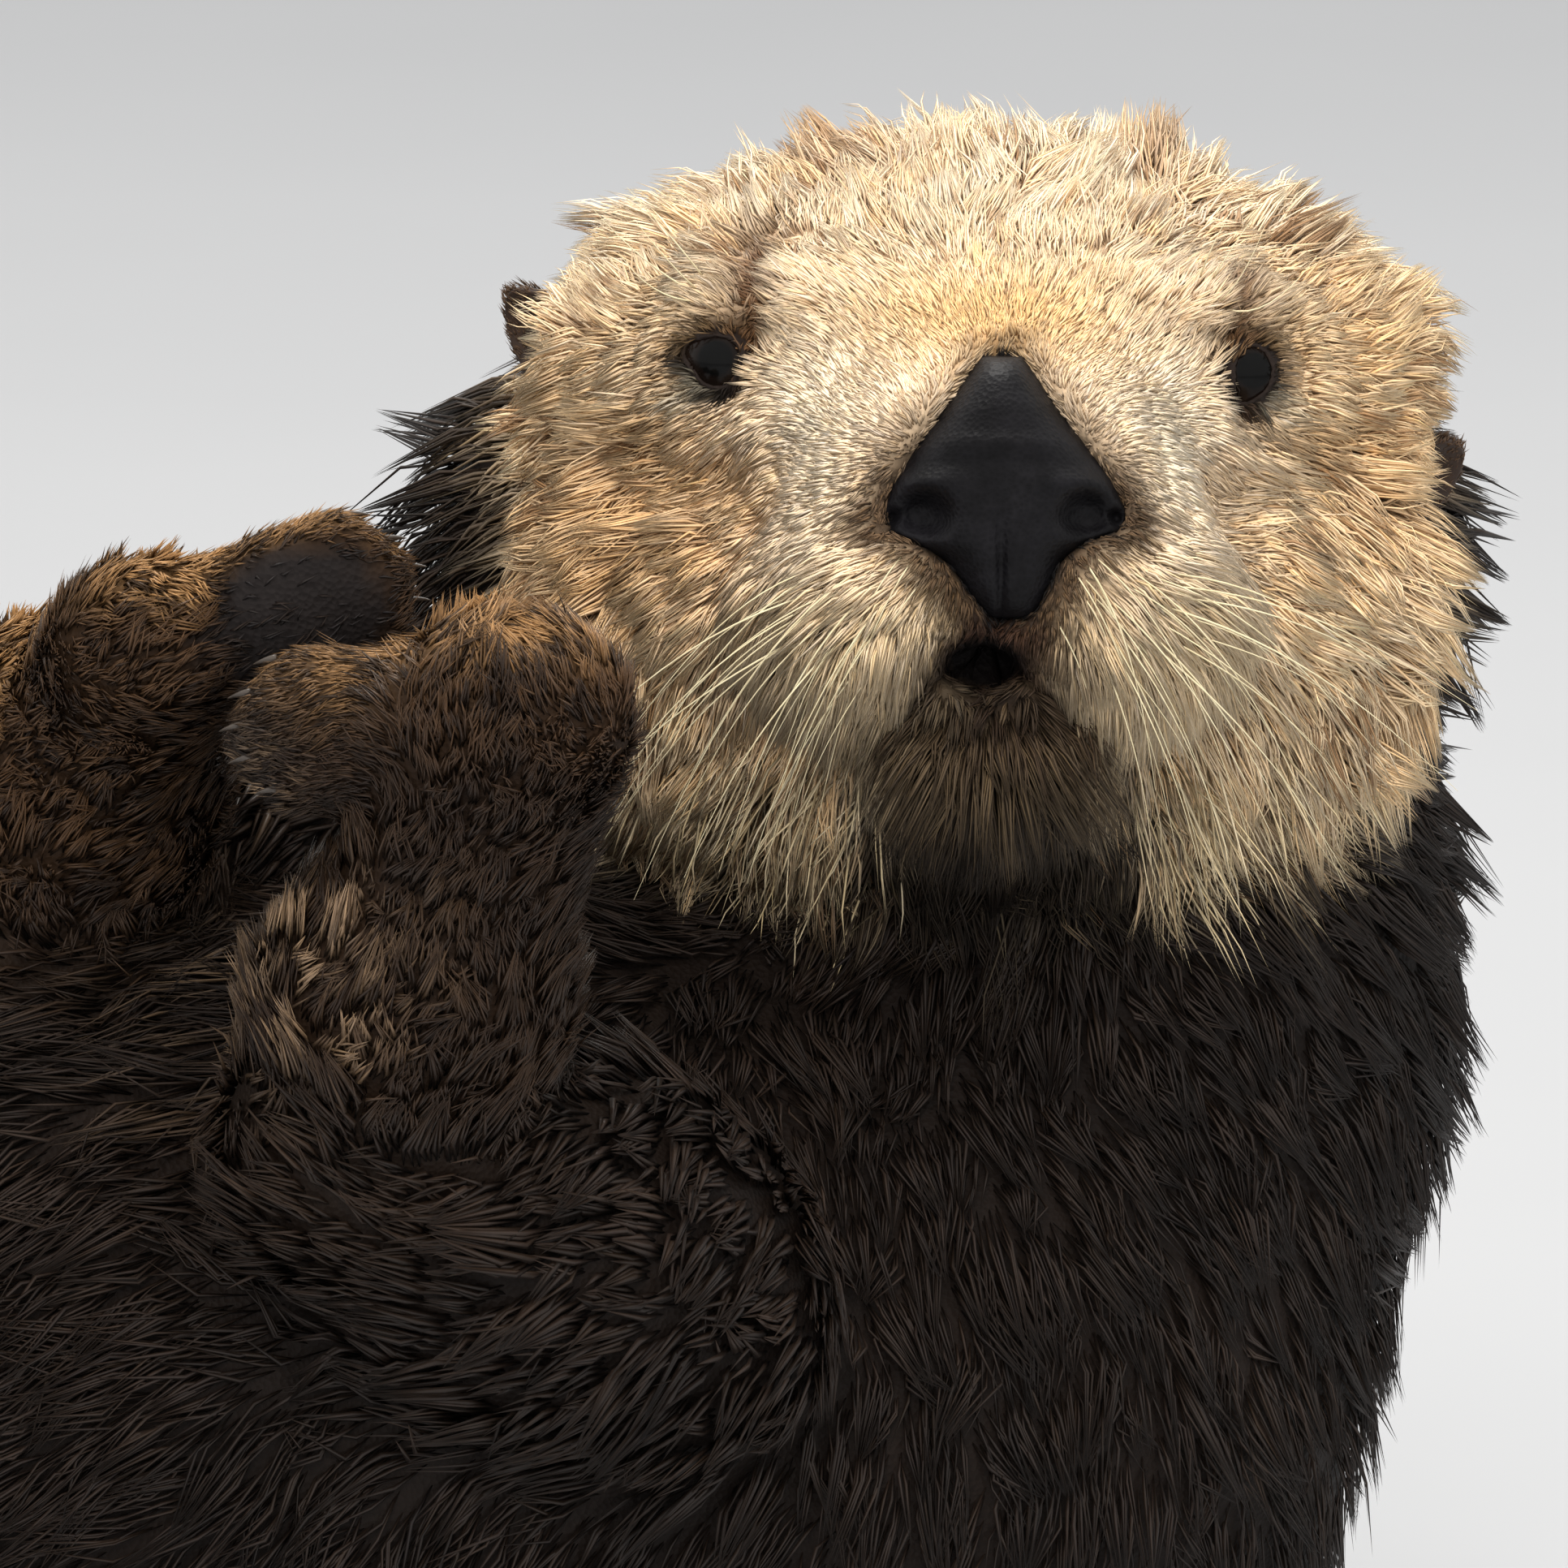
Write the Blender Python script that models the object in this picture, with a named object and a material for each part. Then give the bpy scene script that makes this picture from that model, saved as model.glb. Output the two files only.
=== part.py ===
"""Sea otter, life size, floating on its back: head raised and turned to the left, both forepaws held up together.

Metres, +Z up. The animal lies along X with its head at +X, its belly up and its tail at -X.
Every solid is the outer form of the body out to the tips of the coat. Neighbouring solids keep GAP between them.
"""

import math

import bmesh
import bpy
import numpy as np
from mathutils import Matrix, Vector

# ---------------------------------------------------------------- driving dimensions
GAP = 0.0004  # between two solids that touch
HEAD_Z = 0.272  # height of the middle of the head above the floor
FACE_PITCH = math.radians(12)  # the face looks up by this much
EYE_SPACING = 0.0947
EYE_RADIUS = 0.0076
EYE_DEPTH = -0.0388  # middle of the eyeball in the face frame, towards the nose is negative
SOCKET_DEPTH, SOCKET_RADIUS = 0.0075, 0.0125
TRUNK_TOP = 0.268
FLOOR_PRESS = 0.010  # how far the underside is flattened where it rests
TRUNK_HALF_WIDTH = 0.138
CHEST_FRONT_X, CHEST_BACK_X, BELLY_BACK_X, RUMP_BACK_X = -0.058, -0.290, -0.530, -0.805
TAIL_LENGTH, TAIL_HALF_WIDTH, TAIL_HALF_THICKNESS = 0.285, 0.036, 0.021
FLIPPER_LENGTH, FLIPPER_WIDTH = 0.215, 0.118

COLLECTION = "sea_otter"
CUTTERS = "sea_otter_cutters"

# ---------------------------------------------------------------- clean start
for stale in list(bpy.data.objects):
    bpy.data.objects.remove(stale, do_unlink=True)

parts = bpy.data.collections.new(COLLECTION)
cutters = bpy.data.collections.new(CUTTERS)
bpy.context.scene.collection.children.link(parts)
bpy.context.scene.collection.children.link(cutters)


# ---------------------------------------------------------------- materials
def material(name, colour, roughness, metallic=0.0):
    made = bpy.data.materials.new(name)
    made.use_nodes = True
    shader = made.node_tree.nodes["Principled BSDF"]
    shader.inputs["Base Color"].default_value = (*colour, 1)
    shader.inputs["Roughness"].default_value = roughness
    shader.inputs["Metallic"].default_value = metallic
    made.diffuse_color = (*colour, 1)
    return made


HEAD_COAT = material("head_coat", (0.62, 0.47, 0.29), 0.85)
MUZZLE_COAT = material("muzzle_coat", (0.52, 0.38, 0.22), 0.85)
BODY_COAT = material("body_coat", (0.030, 0.020, 0.015), 0.60)
ARM_COAT = material("arm_coat", (0.085, 0.045, 0.022), 0.70)
SOLE_SKIN = material("sole_skin", (0.022, 0.020, 0.020), 0.55)
NOSE_SKIN = material("nose_skin", (0.010, 0.010, 0.013), 0.35)
EYE_GLASS = material("eye", (0.006, 0.005, 0.004), 0.08)
EAR_SKIN = material("ear", (0.07, 0.04, 0.025), 0.75)


# ---------------------------------------------------------------- frames and fields
def face_point(x, y, z):
    """A point of the face frame in the world: x to the animal's left, y to the back of the head, z to the crown."""
    c, s = math.cos(FACE_PITCH), math.sin(FACE_PITCH)
    return np.array([x, z * s + y * c, HEAD_Z + z * c - y * s])


FACE_AXES = np.array(
    [
        [1, 0, 0],
        [0, math.cos(FACE_PITCH), -math.sin(FACE_PITCH)],
        [0, math.sin(FACE_PITCH), math.cos(FACE_PITCH)],
    ]
)


def ellipsoid(p, centre, radii, axes=None):
    """Distance, near enough, to an ellipsoid. The rows of axes are its own directions."""
    q = p - np.asarray(centre, float)
    if axes is not None:
        q = q @ np.asarray(axes, float).T
    radii = np.asarray(radii, float)
    a = np.linalg.norm(q / radii, axis=-1)
    b = np.linalg.norm(q / radii**2, axis=-1)
    return a * (a - 1) / np.maximum(b, 1e-9)


def capsule(p, start, end, r0, r1):
    """Distance to a limb that tapers from r0 to r1."""
    start, end = np.asarray(start, float), np.asarray(end, float)
    along = end - start
    t = np.clip(((p - start) @ along) / (along @ along), 0, 1)
    return np.linalg.norm(p - (start + t[..., None] * along), axis=-1) - (r0 + (r1 - r0) * t)


def blend(distances, soft):
    """One smooth form from several."""
    d = np.stack(distances)
    least = d.min(axis=0)
    return least - soft * np.log(np.exp(-(d - least) / soft).sum(axis=0))


def in_face(p):
    """World points in the face frame."""
    return (p - np.array([0, 0, HEAD_Z])) @ FACE_AXES.T


def head_field(p):
    q = in_face(p)
    forms = [
        ellipsoid(q, (0, 0.010, 0.016), (0.082, 0.070, 0.060)),  # cranium
        ellipsoid(q, (0.002, -0.004, -0.037), (0.058, 0.050, 0.034)),  # throat ruff
        ellipsoid(q, (0.002, -0.046, 0.000), (0.040, 0.037, 0.037)),  # muzzle
        ellipsoid(q, (0.001, -0.046, -0.042), (0.025, 0.024, 0.016)),  # chin
    ]
    for side in (-1, 1):
        forms.append(ellipsoid(q, (side * 0.050, 0.010, 0.025), (0.038, 0.050, 0.035)))  # temple
        forms.append(ellipsoid(q, (side * 0.045, 0.000, -0.015), (0.043, 0.050, 0.041)))  # cheek
        forms.append(ellipsoid(q, (0.002 + side * 0.022, -0.053, -0.017), (0.026, 0.027, 0.022)))  # whisker pad
        forms.append(ellipsoid(q, (side * 0.034, -0.032, 0.040), (0.022, 0.020, 0.012)))  # brow
    d = blend(forms, 0.0042)
    for side in (-1, 1):
        away = np.linalg.norm((q - eye_in_face(side)) * (1, 0.6, 1), axis=-1)
        d = d + SOCKET_DEPTH * np.exp(-((away / SOCKET_RADIUS) ** 2))
    return d


def eye_in_face(side):
    """Middle of an eyeball. side is -1 for the animal's right and 1 for its left."""
    return np.array([0.0007 + side * EYE_SPACING / 2, EYE_DEPTH, 0.0270 - side * 0.0011])


def body_field(p):
    """Neck and trunk."""
    forms = [
        ellipsoid(p, face_point(-0.006, 0.050, -0.002), (0.104, 0.050, 0.058), FACE_AXES),  # dark ruff behind the cheeks
        ellipsoid(p, (0.008, 0.046, 0.175), (0.090, 0.082, 0.102)),  # neck
        ellipsoid(p, (-0.030, 0.018, 0.100), (0.108, 0.098, 0.096)),  # shoulders
        ellipsoid(p, (-0.135, 0.002, 0.112), (0.150, 0.112, 0.108)),  # chest
        ellipsoid(p, (-0.235, 0.000, 0.124), (0.140, 0.126, 0.124)),
        ellipsoid(p, (-0.370, 0.000, TRUNK_TOP / 2 - 0.002), (0.235, TRUNK_HALF_WIDTH - 0.006, TRUNK_TOP / 2 - 0.004)),  # belly
        ellipsoid(p, (-0.590, 0.000, 0.108), (0.185, 0.118, 0.106)),  # hips
        ellipsoid(p, (-0.760, 0.000, 0.058), (0.110, 0.060, 0.052)),  # root of the tail
    ]
    return blend(forms, 0.012)


def outermost(origins, directions, field, reach, steps=90):
    """For each ray, how far out the field's surface lies."""
    t = np.linspace(reach, 0, steps)
    inside = np.stack([field(origins + directions * x) < 0 for x in t])
    first = inside.argmax(axis=0)
    far, near = t[np.maximum(first - 1, 0)], t[first]
    for _ in range(26):
        middle = (far + near) / 2
        within = field(origins + directions * middle[:, None]) < 0
        near, far = np.where(within, middle, near), np.where(within, far, middle)
    return (near + far) / 2


# ---------------------------------------------------------------- makers
def finish_object(name, mesh, look, collection=parts):
    mesh.materials.append(look)
    made = bpy.data.objects.new(name, mesh)
    collection.objects.link(made)
    mesh.shade_smooth()
    return made


def face_out(bm):
    """Every face flat, and turned so that a closed body's all point outwards."""
    bmesh.ops.triangulate(bm, faces=[f for f in bm.faces if len(f.verts) == 4])
    bmesh.ops.recalc_face_normals(bm, faces=bm.faces)
    if bm.calc_volume(signed=True) < 0:
        bmesh.ops.reverse_faces(bm, faces=bm.faces)


def blob(name, look, centre, axis, field, segments, rings, reach, crowd=1.0):
    """A sphere whose points are pushed out to a field's surface. Its poles are on axis, with more rings at the first pole if crowd is over 1."""
    bm = bmesh.new()
    bmesh.ops.create_uvsphere(bm, u_segments=segments, v_segments=rings, radius=1)
    turn = Vector(axis).normalized().to_track_quat("Z", "Y").to_matrix()
    directions = []
    for v in bm.verts:
        polar = math.acos(max(-1, min(1, v.co.z)))
        polar = math.pi * (polar / math.pi) ** crowd
        round_axis = math.atan2(v.co.y, v.co.x)
        d = Vector((math.sin(polar) * math.cos(round_axis), math.sin(polar) * math.sin(round_axis), math.cos(polar)))
        directions.append(tuple(turn @ d))
    directions = np.array(directions)
    centre = np.asarray(centre, float)
    far = outermost(np.repeat(centre[None], len(directions), 0), directions, field, reach)
    for v, d, t in zip(bm.verts, directions, far):
        v.co = Vector(centre + d * t)
        v.co.z = max(v.co.z, 0)
    face_out(bm)
    mesh = bpy.data.meshes.new(name)
    bm.to_mesh(mesh)
    bm.free()
    return finish_object(name, mesh, look)


def loft(name, look, sections, tips=(False, False)):
    """A closed body through rings of points. A tip draws that end together in one point."""
    bm = bmesh.new()
    rings = [[bm.verts.new(Vector(p)) for p in ring] for ring in sections]
    count = len(rings[0])
    for a, b in zip(rings, rings[1:]):
        for i in range(count):
            j = (i + 1) % count
            bm.faces.new((a[i], a[j], b[j], b[i]))
    for ring, pointed in ((rings[0], tips[0]), (rings[-1], tips[1])):
        if pointed:
            middle = bm.verts.new(sum((v.co for v in ring), Vector()) / count)
            for i in range(count):
                bm.faces.new((ring[i], ring[(i + 1) % count], middle))
        else:
            bm.faces.new(ring)
    face_out(bm)
    mesh = bpy.data.meshes.new(name)
    bm.to_mesh(mesh)
    bm.free()
    return finish_object(name, mesh, look)


def grown(source, by=GAP):
    """A hidden copy of a solid, larger all over by a gap, to cut its neighbours with."""
    mesh = source.data.copy()
    normals = np.zeros(len(mesh.vertices) * 3)
    points = np.zeros(len(mesh.vertices) * 3)
    mesh.vertices.foreach_get("normal", normals)
    mesh.vertices.foreach_get("co", points)
    mesh.vertices.foreach_set("co", points + normals * by)
    mesh.update()
    cutter = bpy.data.objects.new(source.name + "_cut", mesh)
    cutters.objects.link(cutter)
    cutter.hide_render = True
    cutter.display_type = "WIRE"
    return cutter


def cut(target, *tools):
    for tool in tools:
        step = target.modifiers.new("cut_" + tool.name, "BOOLEAN")
        step.operation = "DIFFERENCE"
        step.solver = "EXACT"
        step.object = tool


def keep(target, tool):
    step = target.modifiers.new("keep_" + tool.name, "BOOLEAN")
    step.operation = "INTERSECT"
    step.solver = "EXACT"
    step.object = tool


def helper(name, mesh):
    made = bpy.data.objects.new(name, mesh)
    cutters.objects.link(made)
    made.hide_render = True
    made.display_type = "WIRE"
    return made


def box_tool(name, low, high):
    bm = bmesh.new()
    bmesh.ops.create_cube(bm, size=1)
    low, high = Vector(low), Vector(high)
    for v in bm.verts:
        v.co = Vector(((low[i] + high[i]) / 2 + v.co[i] * (high[i] - low[i])) for i in range(3))
    mesh = bpy.data.meshes.new(name)
    bm.to_mesh(mesh)
    bm.free()
    return helper(name, mesh)


def joint_tools(name, before, joint, after, size=0.075):
    """Two slabs that meet in the plane halfway between two bones. The first holds what lies past the joint, the second what lies before it."""
    before, joint, after = (np.asarray(p, float) for p in (before, joint, after))
    normal = unit(unit(after - joint) - unit(before - joint))
    turn = Vector(normal).to_track_quat("Z", "Y").to_matrix().to_4x4()
    tools = []
    for word, low, high in (("past", -GAP / 2, size), ("before", -size, GAP / 2)):
        tool = box_tool(name + "_" + word, (-size, -size, low), (size, size, high))
        tool.data.transform(Matrix.Translation(Vector(joint)) @ turn)
        tools.append(tool)
    return tools


def unit(v):
    v = np.asarray(v, float)
    return v / np.linalg.norm(v)


def face_plug(name, centre, radii, front, back, grow=0.0, sides=18):
    """An upright oval rod along the face's own axis, from front to back, to part the muzzle or the jaw from the head."""
    bm = bmesh.new()
    bmesh.ops.create_cone(bm, cap_ends=True, segments=sides, radius1=1, radius2=1, depth=1)
    for v in bm.verts:
        x = centre[0] + v.co.x * (radii[0] + grow)
        z = centre[1] + v.co.y * (radii[1] + grow)
        y = back + grow if v.co.z > 0 else front
        v.co = Vector(face_point(x, y, z))
    face_out(bm)
    mesh = bpy.data.meshes.new(name)
    bm.to_mesh(mesh)
    bm.free()
    return helper(name, mesh)


# ---------------------------------------------------------------- head
face_axis = FACE_AXES[1] * -1
head = blob("head", HEAD_COAT, face_point(0, 0, 0), face_axis, head_field, 31, 20, 0.16, crowd=1.28)
muzzle = bpy.data.objects.new("muzzle", head.data.copy())
parts.objects.link(muzzle)
muzzle.data.materials.clear()
muzzle.data.materials.append(MUZZLE_COAT)
jaw = bpy.data.objects.new("jaw", head.data.copy())
parts.objects.link(jaw)
jaw.data.materials.clear()
jaw.data.materials.append(MUZZLE_COAT)

MUZZLE_PLUG = dict(centre=(0.002, -0.001), radii=(0.049, 0.035), front=-0.14, back=-0.040)
JAW_PLUG = dict(centre=(0.001, -0.046), radii=(0.031, 0.024), front=-0.14, back=-0.034)
muzzle_plug = face_plug("muzzle_plug", **MUZZLE_PLUG)
muzzle_plug_wide = face_plug("muzzle_plug_wide", **MUZZLE_PLUG, grow=GAP)
jaw_plug = face_plug("jaw_plug", **JAW_PLUG)
jaw_plug_wide = face_plug("jaw_plug_wide", **JAW_PLUG, grow=GAP)


def eye(name, side):
    bm = bmesh.new()
    bmesh.ops.create_uvsphere(bm, u_segments=10, v_segments=7, radius=EYE_RADIUS)
    mesh = bpy.data.meshes.new(name)
    bm.to_mesh(mesh)
    bm.free()
    mesh.transform(Matrix.Translation(Vector(face_point(*eye_in_face(side)))))
    return finish_object(name, mesh, EYE_GLASS)


eye_R = eye("eye_R", -1)
eye_L = eye("eye_L", 1)

# Nose pad: height in the face frame, left and right edge, how far forward it bulges.
NOSE_STATIONS = (
    (0.0280, 0.0008, 0.0066, -0.0790),
    (0.0245, -0.0028, 0.0096, -0.0830),
    (0.0190, -0.0070, 0.0136, -0.0868),
    (0.0120, -0.0119, 0.0186, -0.0900),
    (0.0055, -0.0160, 0.0232, -0.0918),
    (0.0000, -0.0180, 0.0256, -0.0922),
    (-0.0048, -0.0166, 0.0226, -0.0912),
    (-0.0090, -0.0084, 0.0160, -0.0893),
    (-0.0136, -0.0036, 0.0127, -0.0868),
    (-0.0190, 0.0000, 0.0098, -0.0835),
)
NOSE_BACK = -0.070
nose_rings = []
for z, left, right, front in NOSE_STATIONS:
    ring = []
    for k in range(16):
        a = 2 * math.pi * k / 16
        x = (left + right) / 2 + (right - left) / 2 * math.copysign(abs(math.cos(a)) ** 0.8, math.cos(a))
        deep = (front - NOSE_BACK) * (0.35 + 0.65 * abs(math.sin(a)) ** 0.9)
        y = NOSE_BACK + deep if math.sin(a) > 1e-6 else NOSE_BACK + 0.004 * math.sin(a)
        if abs(math.sin(a)) < 1e-6:
            y = NOSE_BACK + 0.35 * (front - NOSE_BACK)
        ring.append(face_point(x, y, z))
    nose_rings.append(ring)
nose = loft("nose", NOSE_SKIN, nose_rings)


def ear(name, side, middle, lean, turn):
    """A small rounded ear, hollow on its front, that stands out of the side of the head."""
    half_width, half_height, half_thick = 0.0068, 0.0086, 0.0036
    bm = bmesh.new()
    bmesh.ops.create_uvsphere(bm, u_segments=10, v_segments=7, radius=1)
    for v in bm.verts:
        a, b, c = v.co.x, v.co.y, v.co.z
        hollow = max(0.0, -b) * (1 - min(1.0, a * a + (c - 0.1) ** 2)) * 0.75
        p = Vector((a * half_width * (1 - 0.18 * c), (b + hollow * 1.25) * half_thick + 0.0025 * (a * a), c * half_height))
        # turn about the ear's own upright, then lean it outwards
        x = p.x * math.cos(turn) - p.y * math.sin(turn)
        y = p.x * math.sin(turn) + p.y * math.cos(turn)
        x, z = x * math.cos(lean) + p.z * math.sin(lean), -x * math.sin(lean) + p.z * math.cos(lean)
        v.co = Vector(face_point(middle[0] + side * x, middle[1] + y, middle[2] + z))
    face_out(bm)
    mesh = bpy.data.meshes.new(name)
    bm.to_mesh(mesh)
    bm.free()
    return finish_object(name, mesh, EAR_SKIN)


ear_R = ear("ear_R", -1, (-0.0820, 0.010, 0.0350), math.radians(22), math.radians(38))
ear_L = ear("ear_L", 1, (0.0835, 0.012, 0.0075), math.radians(38), math.radians(38))

# ---------------------------------------------------------------- neck and trunk


def neck_field(p):
    """The body in front of the chest, with a little over to be cut square."""
    return np.maximum(body_field(p), CHEST_FRONT_X - 0.02 - p[..., 0])


neck = blob("neck", BODY_COAT, (0.005, 0.030, 0.150), (1, 0, 0), neck_field, 19, 14, 0.35)


def trunk_ring(x, count=22):
    """Section of the trunk across X, flat where it rests on the floor."""
    height = float(np.interp(x, (-0.80, -0.70, -0.55, -0.30, -0.05), (0.055, 0.080, 0.105, 0.125, 0.125)))
    angles = np.linspace(0, 2 * math.pi, count, endpoint=False) + math.pi / count
    directions = np.stack([np.zeros(count), np.cos(angles), np.sin(angles)], axis=1)
    start = np.repeat(np.array([[x, 0.0, height]]), count, 0)
    far = outermost(start, directions, body_field, 0.32)
    ring = start + directions * far[:, None]
    # its weight presses the underside flat
    ring[:, 2] = np.maximum(ring[:, 2] - FLOOR_PRESS * np.clip(1 - ring[:, 2] / 0.040, 0, 1), 0)
    return ring


def trunk_piece(name, front, back, count):
    stations = np.linspace(front, back, count)
    return loft(name, BODY_COAT, [trunk_ring(x) for x in stations])


chest = trunk_piece("chest", CHEST_FRONT_X, CHEST_BACK_X, 8)
belly = trunk_piece("belly", CHEST_BACK_X - GAP, BELLY_BACK_X, 7)
rump = trunk_piece("rump", BELLY_BACK_X - GAP, RUMP_BACK_X, 10)

# Tail: flat, tapering to a blunt tip, and laid on the floor.
tail_root = trunk_ring(RUMP_BACK_X - GAP, 16)
tail_rings = [tail_root]
for s in np.linspace(0.10, 1.0, 9):
    x = RUMP_BACK_X - GAP - TAIL_LENGTH * s
    taper = (1 - s**3.2) ** 0.5 if s < 1 else 0.0
    half_width = max(0.0045, (TAIL_HALF_WIDTH * (1 - 0.28 * s)) * taper)
    half_thick = max(0.0030, (TAIL_HALF_THICKNESS * (1 - 0.35 * s)) * taper)
    mix = max(0.0, 1 - s / 0.45) ** 2
    ring = []
    for k in range(16):
        a = 2 * math.pi * k / 16 + math.pi / 16
        p = np.array([x, half_width * math.cos(a), half_thick * (1 + math.sin(a)) - 0.0012])
        q = np.array([x, tail_root[k][1], tail_root[k][2]])
        p = p * (1 - mix) + q * mix
        p[2] = max(p[2], 0.0)
        ring.append(p)
    tail_rings.append(ring)
tail = loft("tail", BODY_COAT, tail_rings)

# ---------------------------------------------------------------- forelimbs
# shoulder, elbow, wrist and tip of the paw of each side, and the radii there
ARMS = {
    "R": dict(
        shoulder=(-0.095, 0.030, 0.196),
        elbow=(-0.176, -0.036, 0.214),
        wrist=tuple(face_point(-0.1500, -0.080, -0.0240)),
        tip=tuple(face_point(-0.1060, -0.092, -0.0120)),
        radii=(0.044, 0.038, 0.0200),
        paw=(0.0160, 0.0110),  # half height, half thickness
        palm=(0.15, -0.95, -0.10),
    ),
    "L": dict(
        shoulder=(-0.062, -0.070, 0.140),
        elbow=(-0.110, -0.104, 0.178),
        wrist=tuple(face_point(-0.0850, -0.112, -0.0370)),
        tip=tuple(face_point(-0.1290, -0.108, -0.0395)),
        radii=(0.046, 0.036, 0.0240),
        paw=(0.0160, 0.0120),
        palm=(0.05, 0.75, -0.50),
    ),
}


def paw_field(arm):
    """A short rounded mitt with five toes that show only as soft lobes at its end."""
    wrist, tip = np.array(arm["wrist"]), np.array(arm["tip"])
    along = unit(tip - wrist)
    palm = np.array(arm["palm"], float)
    palm = unit(palm - along * (palm @ along))
    across = np.cross(along, palm)
    half_width, half_thick = arm["paw"]
    middle = wrist + (tip - wrist) * 0.52
    length = np.linalg.norm(tip - wrist)
    axes = np.stack([along, across, palm])

    def field(p):
        forms = [
            ellipsoid(p, middle, (length * 0.56, half_width, half_thick), axes),
            capsule(p, wrist - along * 0.004, wrist + along * 0.016, arm["radii"][2] * 0.86, half_thick),
        ]
        for k in range(5):
            side = (k - 2) / 2
            toe = wrist + along * (length * (0.93 - 0.14 * side * side)) + across * (side * half_width * 0.78)
            forms.append(ellipsoid(p, toe, (0.0105, 0.0042, half_thick * 0.72), axes))
        return blend(forms, 0.0016)

    return field, middle, along


limb_parts = {}
for side, arm in ARMS.items():
    shoulder, elbow, wrist = (np.array(arm[k]) for k in ("shoulder", "elbow", "wrist"))
    r0, r1, r2 = arm["radii"]
    upper = blob(
        "upper_arm_" + side,
        BODY_COAT,
        (shoulder + elbow) / 2,
        elbow - shoulder,
        lambda p: blend(
            (
                capsule(p, shoulder, elbow, r0 * 0.94, r1 * 0.94),
                ellipsoid(p, shoulder + (elbow - shoulder) * 0.35, (r0 * 1.05, r0 * 0.98, r0 * 0.95)),
            ),
            0.004,
        ),
        13,
        9,
        0.2,
    )
    fore = blob(
        "forearm_" + side,
        ARM_COAT,
        (elbow + wrist) / 2,
        wrist - elbow,
        lambda p: blend(
            (
                capsule(p, elbow, wrist, r1 * 0.82, r2 * 0.94),
                ellipsoid(p, elbow + (wrist - elbow) * 0.30, (r1 * 0.90, r1 * 0.86, r1 * 0.98)),
                ellipsoid(p, wrist, (r2 * 1.0, r2 * 0.96, r2 * 0.92)),
            ),
            0.003,
        ),
        14,
        9,
        0.2,
    )
    field, middle, along = paw_field(arm)
    paw = blob("forepaw_" + side, ARM_COAT, middle, along, field, 14, 11, 0.12)
    limb_parts[side] = (upper, fore, paw)

# ---------------------------------------------------------------- hind limbs
HIP, KNEE, ANKLE = (-0.640, 0.078, 0.118), (-0.700, 0.128, 0.150), (-0.815, 0.122, 0.088)
FOOT_AIM = (-0.74, 0.20, 0.60)  # from the heel towards the toes
SOLE_SIDE = (-0.60, -0.10, -0.78)


def mirrored(point, side):
    return np.array([point[0], point[1] * side, point[2]])


def flipper(name, side):
    """A broad webbed hind foot: five toes that fan out, the outermost the longest, with thin web between."""
    ankle = mirrored(ANKLE, side)
    aim = unit(mirrored(FOOT_AIM, side))
    sole = mirrored(SOLE_SIDE, side)
    sole = unit(sole - aim * (sole @ aim))
    out = np.cross(aim, sole)
    if out[1] * side < 0:
        out = -out
    rings = []
    count = 20
    stations = [-0.16, -0.10, 0.0, 0.10, 0.22, 0.36, 0.50, 0.64, 0.78, 0.90, 0.985]
    for s in stations:
        fan = np.clip((s - 0.05) / 0.95, 0, 1)
        half = 0.024 + (FLIPPER_WIDTH / 2 - 0.024) * fan**0.8
        thick = 0.0185 * (1 - fan) ** 1.3 + 0.0050
        if s < 0:
            shrink = math.sqrt(max(0.02, 1 - (s / -0.175) ** 2))
            half, thick = half * shrink, thick * shrink
        if s > 0.9:
            half, thick = half * 0.965, thick * 0.62
        ring = []
        for k in range(count):
            a = 2 * math.pi * k / count + math.pi / count
            b = math.copysign(abs(math.cos(a)) ** 0.85, math.cos(a))
            toe = 0.5 + 0.5 * math.cos((b + 1) * 2 * 2 * math.pi)
            ridge = 1 + 0.42 * fan * (toe - 0.35)
            reach = 1 + fan * (0.13 * b - 0.05 + 0.030 * fan * (toe - 0.5) - 0.12 * fan**2 * b**8)
            lift = thick * math.copysign(abs(math.sin(a)) ** 0.9, math.sin(a)) * ridge
            cup = 0.012 * fan * (b * b - 0.4)
            curl = 0.010 * math.sin(math.pi * np.clip(s, 0, 1))
            ring.append(
                ankle
                + aim * (FLIPPER_LENGTH * s * (reach if s > 0 else 1))
                + out * (half * b + 0.010 * fan)
                + sole * (lift - curl + cup)
            )
        rings.append(ring)
    return loft(name, SOLE_SKIN, rings)


for side, letter in ((-1, "L"), (1, "R")):
    hip, knee, ankle = mirrored(HIP, side), mirrored(KNEE, side), mirrored(ANKLE, side)
    thigh = blob(
        "thigh_" + letter,
        BODY_COAT,
        (hip + knee) / 2,
        knee - hip,
        lambda p: blend((capsule(p, hip, knee, 0.062, 0.044), ellipsoid(p, hip + (knee - hip) * 0.4, (0.072, 0.050, 0.062))), 0.005),
        14,
        9,
        0.25,
    )
    shank = blob(
        "shank_" + letter,
        BODY_COAT,
        (knee + ankle) / 2,
        ankle - knee,
        lambda p: blend((capsule(p, knee, ankle, 0.040, 0.0250), ellipsoid(p, knee + (ankle - knee) * 0.35, (0.044, 0.036, 0.036))), 0.004),
        13,
        9,
        0.25,
    )
    foot = flipper("hind_flipper_" + letter, side)
    limb_parts["hind" + letter] = (thigh, shank, foot)

# ---------------------------------------------------------------- parting the solids
head_cut, neck_cut = grown(head, 2 * GAP), grown(neck)
eye_cuts = [grown(eye_R), grown(eye_L)]
ear_cuts = [grown(ear_R), grown(ear_L)]
nose_cut = grown(nose)
front_room = box_tool("front_room", (CHEST_FRONT_X + GAP, -0.5, -0.2), (0.4, 0.5, 0.6))

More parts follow.
